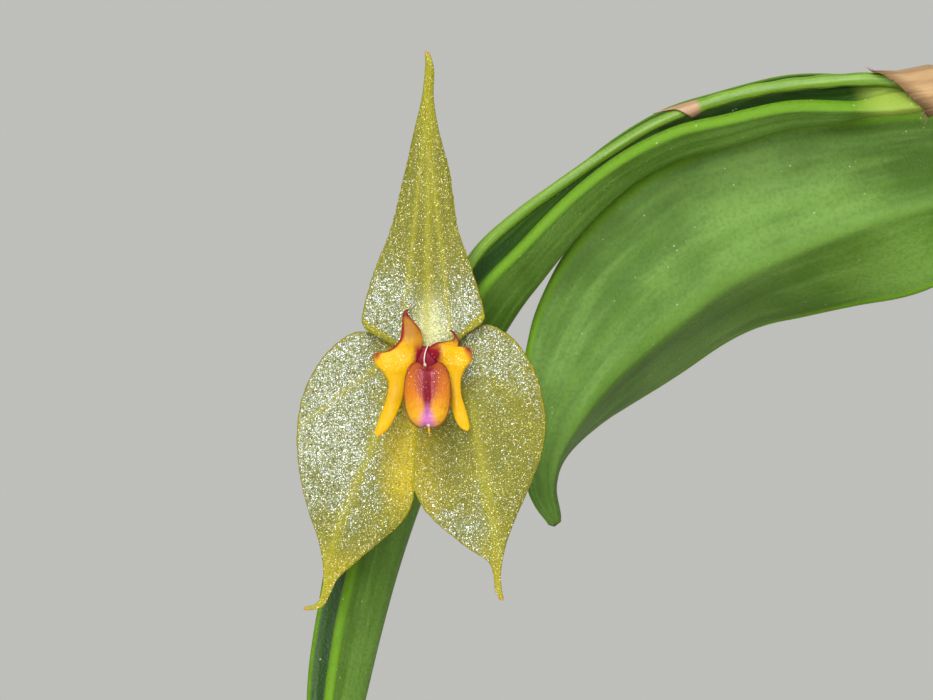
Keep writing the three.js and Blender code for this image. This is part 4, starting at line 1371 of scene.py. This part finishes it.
def sepal_finish(name, organ, flower, silver_glint, patches):
    """The first function gives the share of cells that carry a painted glint, and patches give colours
    with their shares, both from x and z, measured from the middle of the lip."""
    finish = Finish(name, 0.2, flesh=0.1)
    q, t, front = finish.readings()
    here = finish.from_lip()
    x, _, z = finish.parts(here)
    flat = finish.stretched(here, (1, 0, 1))
    scale = METRES / flower.cell
    cloud = finish.noise(1.1, 4)
    wide = finish.noise(0.35, 2)
    vein = sum((vein_offset(line, x, z).bell(line[3] * VEIN_BLUR) for line in organ["veins"]), 0)
    vein = vein.clamped()
    rim = q.size().smooth(0.95, 0.99)
    dim = (1 - vein * 0.4) * (1 - rim * 0.8)
    # The share of cells with a painted glint (a highlight painted into the colour), and how crowded these
    # glints are
    share = (silver_glint(x, z) * (cloud * 2 - 0.05) * dim).clamped()
    glint_density = share.smooth(0.12, 0.95)
    bright, pick = glints(finish, flat, scale * 1.3, share * 0.62 + 0.03)
    tail = t.smooth(0.62, 0.92)
    small, small_pick = glints(finish, flat, scale * 2.1, share * 0.4 + 0.25 - tail * 0.16)
    gaps, gap_pick = finish.cells(scale * 1.4, flat)
    green = finish.layered(
        flower.sepal,
        (wide.smooth(0.4, 0.65) * 0.35, flower.vein),
        *patches(x, z),
        # Darker cells and darker cell rims: the sepals' own cell tone, deepened as painted shade where
        # the painted glints are crowded
        (gap_pick[1].smooth(0.4, 0.9) * (glint_density * 0.4 + 0.4), flower.shade),
        (gaps.smooth(0.35, 0.65) * (glint_density * 0.6 + 0.15), flower.shade),
        ((vein * 0.5).or_more(tail * 0.6), flower.vein),
        (rim * 0.6, flower.vein),
    )
    # Colours of the painted glints: blue-white, white and gold highlights
    cool_glint = finish.mix(pick[1].smooth(0.2, 0.9), BLUE_GLINT, flower.silver_glint)
    shine = finish.mix((pick[2] * 0.6 + glint_density).smooth(0.3, 0.6), flower.warm_glint, cool_glint)
    little = finish.mix((small_pick[2] * 0.6 + glint_density).smooth(0.3, 0.7), flower.warm_glint, flower.silver_glint)
    colour = finish.layered(
        green,
        # A paler painted sheen on some cells where the painted glints are crowded
        (glint_density * gap_pick[2].smooth(0.1, 0.6) * 0.65, flower.pale_sheen),
        # Painted highlights: the small and the larger glints of the cells
        (small * 0.85, little),
        (bright, shine),
        (t.smooth(0.965, 1) * 0.45, flower.flush),
    )
    roughness = 0.4 - bright * 0.2 + gaps * 0.1
    return finish.wear(finish.mix(front, green, colour), roughness, gaps * -1 + cloud * 0.3, 0.02)


class ORCHID_OT_sepals(Operator):
    """Makes the three sepals with their domed surface cells and the glints painted on them"""

    bl_idname = "orchid.sepals"
    bl_label = "Sepals"

    def execute(self, context):
        flower = context.scene.orchid_flower
        # For each sepal: the share of its cells with a painted glint, by place, then its colour patches
        looks = {
            "dorsal_sepal": (
                lambda x, z: (
                    (z - 2.5).bell(1.9) * (x.size() - 0.1).smooth(-0.2, 1)
                    * (1 - dorsal_hem(x, z)) * 0.8 + 0.16
                ),
                lambda x, z: (
                    (dorsal_hem(x, z) * 0.8, flower.vein),
                    (((x - 0.15).bell(0.75) * (z - 2).bell(1.6)).smooth(0.1, 0.9) * 0.75, flower.cream),
                    (z.smooth(8, 12) * 0.4, flower.vein),
                ),
            ),
            "left_sepal": (
                lambda x, z: x.smooth(-0.9, -3.2) * z.smooth(-6.5, -0.5) + 0.2,
                lambda x, z: (
                    (x.smooth(-2, -1) * z.smooth(-5, -3) * 0.8, flower.glow),
                    (z.smooth(-5, -6.5) * 0.5, flower.glow),
                ),
            ),
            "right_sepal": (
                lambda x, z: (
                    (x - 1.2).bell(1.5) * (z + 4.8).bell(1.4) * 0.3 + (z - 1.6).bell(1.4) * 0.45 + 0.22
                ),
                lambda x, z: (
                    ((x + 0.1).bell(0.6) * 0.45, flower.glow),
                    (z.smooth(-5, -6.5) * 0.5, flower.glow),
                ),
            ),
        }
        for seed, (name, (silver_glint, patches)) in enumerate(looks.items()):
            organ = ORGANS[name]
            bm = organ_blade(organ, SEPAL_GRID, SEPAL_END, sepal_shape(organ, flower, seed))
            finish = sepal_finish(name.replace("_", " ").capitalize(), organ, flower, silver_glint, patches)
            new_piece(f"{name}_surface", bm, finish, [name])

        skin = mottled("Sepals' cup", 0.4, 3, flower.glow, flower.shade, 0.5)
        cup = ball(48, 32, lambda point: FLOWER + SEPALS_CUP + point * SEPALS_CUP_HALF)
        new_piece("sepals_cup", cup, skin)
        return {"FINISHED"}


PETAL_GRID = (230, 56, 36)
PETAL_DEPTH = -1.6
PETAL_END = 0.035
PETAL_RIPPLE = 0.1
PETAL_CELL = 0.085
PETAL_GRAIN = 0.012
# Colour of the highlights painted on the petals' grainy shoulders
PETAL_SHEEN = (0.9, 0.75, 0.4)
# For each petal: between which heights its two edges turn crimson, and where its hook begins
PETAL_EDGES = {
    "left_petal": ((1.2, 1.5), (2.0, 2.5), 2.65),
    "right_petal": ((1.5, 1.8), (1.1, 1.6), 1.84),
}


def petal_shape(seed):
    """The shape of a puffed petal, grainy at its shoulders."""

    def shape(middle, t, q, across):
        width = across.length / 2
        x, z = middle.x, middle.z
        ripple = PETAL_RIPPLE * noise.noise(Vector((x * 1.6, seed, z * 1.6)))
        middle.y = PETAL_DEPTH + ripple * min(width * 2, 1)
        past = max(t - (1 - PETAL_END), 0) / PETAL_END
        edge = math.sqrt(max(1 - q * q, 0)) * math.sqrt(max(1 - past * past, 0))
        puff = min(0.17, 0.03 + width * 0.28)
        grainy = smooth(0.1, 0.3, width) * bell(z - 1.15, 0.55)
        grain = PETAL_GRAIN * cell_dome(Vector((x, seed, z)), PETAL_CELL) * grainy
        return (puff + grain) * edge, puff * edge

    return shape


def petal_finish(flower, name):
    left_edge, right_edge, hook_foot = PETAL_EDGES[name]
    finish = Finish(name.replace("_", " ").capitalize(), 0.14, flesh=0.15)
    q, _, _ = finish.readings()
    x, _, z = finish.parts(finish.from_lip())
    fine = finish.noise(5, 4)
    dots, pick = finish.cells(1 / PETAL_CELL)
    level = z + fine * 0.35 - 0.17
    top = level.smooth(1.5, 2.3)
    hook = level.smooth(hook_foot, hook_foot + 0.25)
    left_rim = (q * -1 + fine * 0.2).smooth(0.68, 0.97) * level.smooth(*left_edge)
    right_rim = (q + fine * 0.2).smooth(0.7, 0.98) * level.smooth(*right_edge)
    blush = q.size().smooth(0.8, 1) * level.smooth(0.6, 1.1) * 0.5
    middle = (x.size() + fine * 0.3).smooth(0.8, 0.45) * (z - 1.42).bell(0.42)
    # Painted highlights: bright specks on random cells of the grainy shoulders
    sheen = pick[0].smooth(0.75, 0.9) * dots.smooth(0.4, 0.15) * (z - 1.2).bell(0.35)
    colour = finish.layered(
        flower.petal,
        (top * 0.95, flower.petal_top),
        (level.bell(0.5) * 0.2, flower.petal_top),
        ((fine * 1.8 - 0.5).clamped() * 0.3, darker(flower.petal, 0.6)),
        (blush, flower.lip),
        (middle * 1.2, flower.crimson),
        (left_rim.or_more(right_rim) * 0.95, flower.crimson),
        (hook * 0.92, darker(flower.crimson, 0.6)),
        (sheen * 0.6, PETAL_SHEEN),
    )
    return finish.wear(colour, 0.36 + fine * 0.15, dots * -1, 0.006)


class ORCHID_OT_petals(Operator):
    """Makes the two-lobed petals"""

    bl_idname = "orchid.petals"
    bl_label = "Petals"

    def execute(self, context):
        flower = context.scene.orchid_flower
        for seed, name in enumerate(PETAL_EDGES):
            bm = organ_blade(ORGANS[name], PETAL_GRID, PETAL_END, petal_shape(seed), to_edges)
            new_piece(f"{name}_lobes", bm, petal_finish(flower, name), [name])
        return {"FINISHED"}


# Lip and column
LIP_HALF = (0.83, 0.5, 1.2)
LIP_DEPTH = -2.5
LIP_NARROWING = 0.1
LIP_CELL = 0.075
GROOVE_WIDTH = 0.09
GROOVE_DEPTH = 0.11
SHOULDER_RISE = 1.06
NOTCH_WIDTH = 0.2
NOTCH_DEPTH = 0.19
LIP_GRAIN = 0.012
# Colours of highlights painted on the lip: specks near its top, and a wet glint low in its middle
LIP_SHEEN = (0.8, 0.6, 0.5)
LIP_WET_GLINT = (0.9, 0.85, 0.85)
APPENDIX_RADIUS = 0.045
APPENDIX = from_flower([
    (0.04, -2.5, -1), (0.05, -2.56, -1.15), (0.06, -2.6, -1.28), (0.08, -2.6, -1.38),
])


def lip_finish(flower):
    finish = Finish("Lip", 0.3, flesh=0.12)
    x, _, z = finish.parts(finish.from_lip())
    _, ball_y, _ = finish.readings()
    fine = finish.noise(6, 4)
    dots, pick = finish.cells(1 / LIP_CELL)
    halo = (x / (z.smooth(-0.4, 0.5) * 0.28 + 0.14)).bell(1)
    halo = halo * z.smooth(-0.75, -0.1) * z.smooth(1.35, 0.8)
    groove = x.bell(0.035) * z.smooth(-0.7, -0.2)
    patch = (x / (z.smooth(-0.3, -0.95) * 0.16 + 0.09)).bell(1) * z.smooth(-0.1, -0.6)
    rim = ball_y.smooth(-0.4, -0.12)
    # Painted highlights: bright specks on random cells near the top of the lip
    sheen = pick[0].smooth(0.8, 0.95) * dots.smooth(0.4, 0.15) * (z - 0.65).bell(0.6)
    colour = finish.layered(
        flower.lip,
        ((z + fine * 0.4).smooth(0.4, -0.6) * 0.8, flower.petal),
        (z.smooth(0.3, 1.2) * 0.45, flower.crimson),
        ((fine * 1.8 - 0.5).clamped() * 0.3, darker(flower.lip, 0.55)),
        (halo * 1.25, flower.crimson),
        (groove * 0.7, darker(flower.crimson, 0.3)),
        (patch * 1.2, flower.pink),
        (x.bell(0.05) * (z + 0.55).bell(0.25) * 0.6, darker(flower.pink, 0.3)),
        (rim * 0.85, flower.crimson),
        (sheen * 0.6, LIP_SHEEN),
        # A painted highlight: a small wet glint low in the middle of the lip
        ((x - 0.03).bell(0.05) * (z + 1.05).bell(0.05), LIP_WET_GLINT),
    )
    return finish.wear(colour, 0.34 + fine * 0.15 + groove * 0.4, dots * -1, 0.012)


def lip_shape(point):
    """Moves a place on a sphere of radius 1 to the lip: blunt at both ends, notched and grooved."""
    x, y, z = point
    blunt = 2.8 if z < 0 else 3
    round_width = math.sqrt(max(1 - z * z, 1e-6))
    fuller = max(1 - abs(z) ** blunt, 0) ** (1 / blunt) / round_width if abs(z) < 0.9999 else 1
    groove = bell(x, GROOVE_WIDTH / LIP_HALF[0]) * smooth(-0.8, -0.2, z)
    hollow = 0.2 * bell(x, 0.33) * bell(z + 0.62, 0.3)
    carved = (GROOVE_DEPTH / LIP_HALF[1] * groove + hollow) * (1 - z * z) * max(-y, 0)
    notch = NOTCH_DEPTH * bell(x, NOTCH_WIDTH) * smooth(0.55, 1, z)
    foot = 0.06 * bell(x, 0.12) * smooth(-0.8, -1, z)
    wide = x * fuller * (1 - LIP_NARROWING * max(-z, 0))
    deep = y * min(fuller, 1.25)
    grain = 1 + LIP_GRAIN * cell_dome(point, LIP_CELL / LIP_HALF[0])
    return FLOWER + Vector((
        LIP_HALF[0] * wide * grain,
        LIP_DEPTH + LIP_HALF[1] * (deep * grain + carved),
        LIP_HALF[2] * (z - notch + foot) * (SHOULDER_RISE if z > 0 else 0.97),
    ))


class ORCHID_OT_lip(Operator):
    """Shapes the grooved lip with its appendix"""

    bl_idname = "orchid.lip"
    bl_label = "Lip"

    def execute(self, context):
        flower = context.scene.orchid_flower
        new_piece("grooved_lip", ball(160, 120, lip_shape), lip_finish(flower), ["lip"])

        skin = mottled("Appendix", 0.4, 9, flower.lip, flower.petal, 0.45)
        path = Path(APPENDIX)
        rings = even_rings(path, 20, lambda s: APPENDIX_RADIUS * (1.1 - 0.8 * s**2))
        new_piece("lip_appendix", tube(path, rings, 14), skin)
        return {"FINISHED"}


COLUMN = from_flower([(0, -0.42, 0.62), (0, -1, 0.55), (0, -1.82, 0.4)])
JOINT = Vector((0, -1.42, 1.34))
JOINT_HALF = (0.66, 0.16, 0.4)
THREAD = from_flower([
    (0.04, -1.42, 1.86), (-0.02, -1.68, 1.7), (-0.09, -1.75, 1.5), (-0.12, -1.9, 1.25),
    (-0.09, -2.2, 1.08), (-0.08, -2.38, 0.98),
])
THREAD_RADIUS = 0.022
THREAD_LIGHT = (0.6, 0.54, 0.42)
THREAD_DARK = (0.42, 0.28, 0.22)


def joint_shape(point):
    """Moves a place on a sphere of radius 1 to the bumpy joint of the petals."""
    x, y, z = point
    bumpy = 1 + 0.08 * noise.noise(point * 2.5)
    place = (JOINT_HALF[0] * x, JOINT_HALF[1] * y * bumpy + 0.1 * x * x, JOINT_HALF[2] * z * bumpy)
    return FLOWER + JOINT + Vector(place)


def thread_radius(s):
    """The thread's radius along it, with a lump near its lower end."""
    return THREAD_RADIUS + 0.028 * bell(s - 0.86, 0.1) * (1 + 0.5 * math.sin(76 * s))


class ORCHID_OT_column(Operator):
    """Makes the column, the joint of the petals and the pale thread in front of it"""

    bl_idname = "orchid.column"
    bl_label = "Column"

    def execute(self, context):
        flower = context.scene.orchid_flower
        finish = Finish("Column", 0.15, flesh=0.1)
        fine = finish.noise(5, 3)
        skin = finish.layered(flower.crimson, (fine.smooth(0.5, 0.8) * 0.15, flower.pink))
        skin = finish.wear(skin, 0.55, fine, 0.03)
        path = Path(COLUMN)
        swell = profile([(0, 0.3), (0.5, 0.3), (0.75, 0.36), (0.93, 0.3), (1, 0.16)])
        new_piece("column_body", tube(path, even_rings(path, 30, swell), 32), skin, ["column"])
        new_piece("petals_joint", ball(64, 44, joint_shape), skin)

        pale = mottled("Pale thread", 0.5, 8, THREAD_LIGHT, THREAD_DARK, 0.4)
        path = Path(THREAD)
        new_piece("pollinia_thread", tube(path, even_rings(path, 40, thread_radius), 12), pale)
        return {"FINISHED"}


# Studio: the camera stands straight in front of the flower, in mm from the lip
CAMERA_PLACE = Vector((1.375, -180, 1.607))
SENSOR_WIDTH = 36
LENS = 194.5
CLIP_START = 0.01
ROOM_LIGHT = 0.68
# Each light: its place from the lip and its width in metres, and whether it faces the flower
LIGHTS = {
    "key": ((-0.06, -0.35, 0.27), 0.11, True),
    "front": ((-0.04, -0.4, 0.05), 0.12, True),
    "glint": ((-0.06, -0.32, 0.14), 0.03, True),
    "fill": ((0.4, -0.3, 0.1), 0.4, True),
    "back": ((0.25, 0.5, 0.45), 0.4, False),
}
POT_MIDDLE = Vector((0, 0, 0.05))


class ORCHID_OT_studio(Operator):
    """Sets the camera, the pale floor and the soft lights"""

    bl_idname = "orchid.studio"
    bl_label = "Studio"

    def execute(self, context):
        studio = context.scene.orchid_studio
        camera = bpy.data.cameras.new("Camera")
        camera.sensor_width = SENSOR_WIDTH
        camera.lens = LENS
        camera.clip_start = CLIP_START
        stand = in_scene("Camera", camera)
        stand.location = (FLOWER + CAMERA_PLACE) * METRES
        stand.rotation_euler = (math.pi / 2, 0, 0)
        context.scene.camera = stand

        finish = Finish("Pale floor", 0.2)
        grain = finish.noise(0.02, 3)
        paint = finish.mix(grain * 0.2, studio.backdrop, darker(studio.backdrop, 0.85))
        bm = bmesh.new()
        bmesh.ops.create_circle(bm, cap_ends=True, segments=128, radius=studio.floor_radius)
        mesh = to_mesh("floor", bm)
        mesh.materials.append(finish.wear(paint, 0.8))
        floor = in_scene("floor", mesh)

        world = bpy.data.worlds.new("Pale room")
        world.use_nodes = True
        sky = world.node_tree.nodes["Background"]
        sky.inputs["Color"].default_value = (*studio.backdrop, 1)
        sky.inputs["Strength"].default_value = ROOM_LIGHT
        context.scene.world = world
        context.scene.view_settings.view_transform = "Standard"

        for name, (place, size, at_flower) in LIGHTS.items():
            light = bpy.data.lights.new(name.capitalize(), "AREA")
            light.shape = "DISK"
            light.size = size
            light.energy = getattr(studio, name)
            lamp = in_scene(name.capitalize(), light)
            lamp.location = FLOWER * METRES + Vector(place)
            target = FLOWER * METRES if at_flower else POT_MIDDLE
            lamp.rotation_euler = (target - lamp.location).to_track_quat("-Z", "Y").to_euler()
        return {"FINISHED"}


STEPS = (
    ORCHID_OT_studio,
    ORCHID_OT_pot,
    ORCHID_OT_moss,
    ORCHID_OT_stems,
    ORCHID_OT_leaves,
    ORCHID_OT_stalks,
    ORCHID_OT_sepals,
    ORCHID_OT_petals,
    ORCHID_OT_lip,
    ORCHID_OT_column,
)
SETTINGS = {
    "orchid_pot": PotSettings,
    "orchid_moss": MossSettings,
    "orchid_stem": StemSettings,
    "orchid_leaf": LeafSettings,
    "orchid_stalk": StalkSettings,
    "orchid_flower": FlowerSettings,
    "orchid_studio": StudioSettings,
}


class ORCHID_PT_panel(Panel):
    """The orchid's pieces and their settings"""

    bl_idname = "ORCHID_PT_panel"
    bl_label = "Potted orchid"
    bl_space_type = "VIEW_3D"
    bl_region_type = "UI"
    bl_category = "Orchid"

    def draw(self, context):
        for step in STEPS:
            self.layout.operator(step.bl_idname)
        for name, group in SETTINGS.items():
            box = self.layout.box()
            for prop in group.__annotations__:
                box.prop(getattr(context.scene, name), prop)


def register():
    for cls in (*SETTINGS.values(), *STEPS, ORCHID_PT_panel):
        bpy.utils.register_class(cls)
    for name, group in SETTINGS.items():
        setattr(bpy.types.Scene, name, PointerProperty(type=group))


def unregister():
    for name in SETTINGS:
        delattr(bpy.types.Scene, name)
    for cls in (ORCHID_PT_panel, *reversed(STEPS), *reversed(SETTINGS.values())):
        bpy.utils.unregister_class(cls)


def main():
    register()
    for step in STEPS:
        group, name = step.bl_idname.split(".")
        getattr(getattr(bpy.ops, group), name)()


if __name__ == "__main__":
    main()
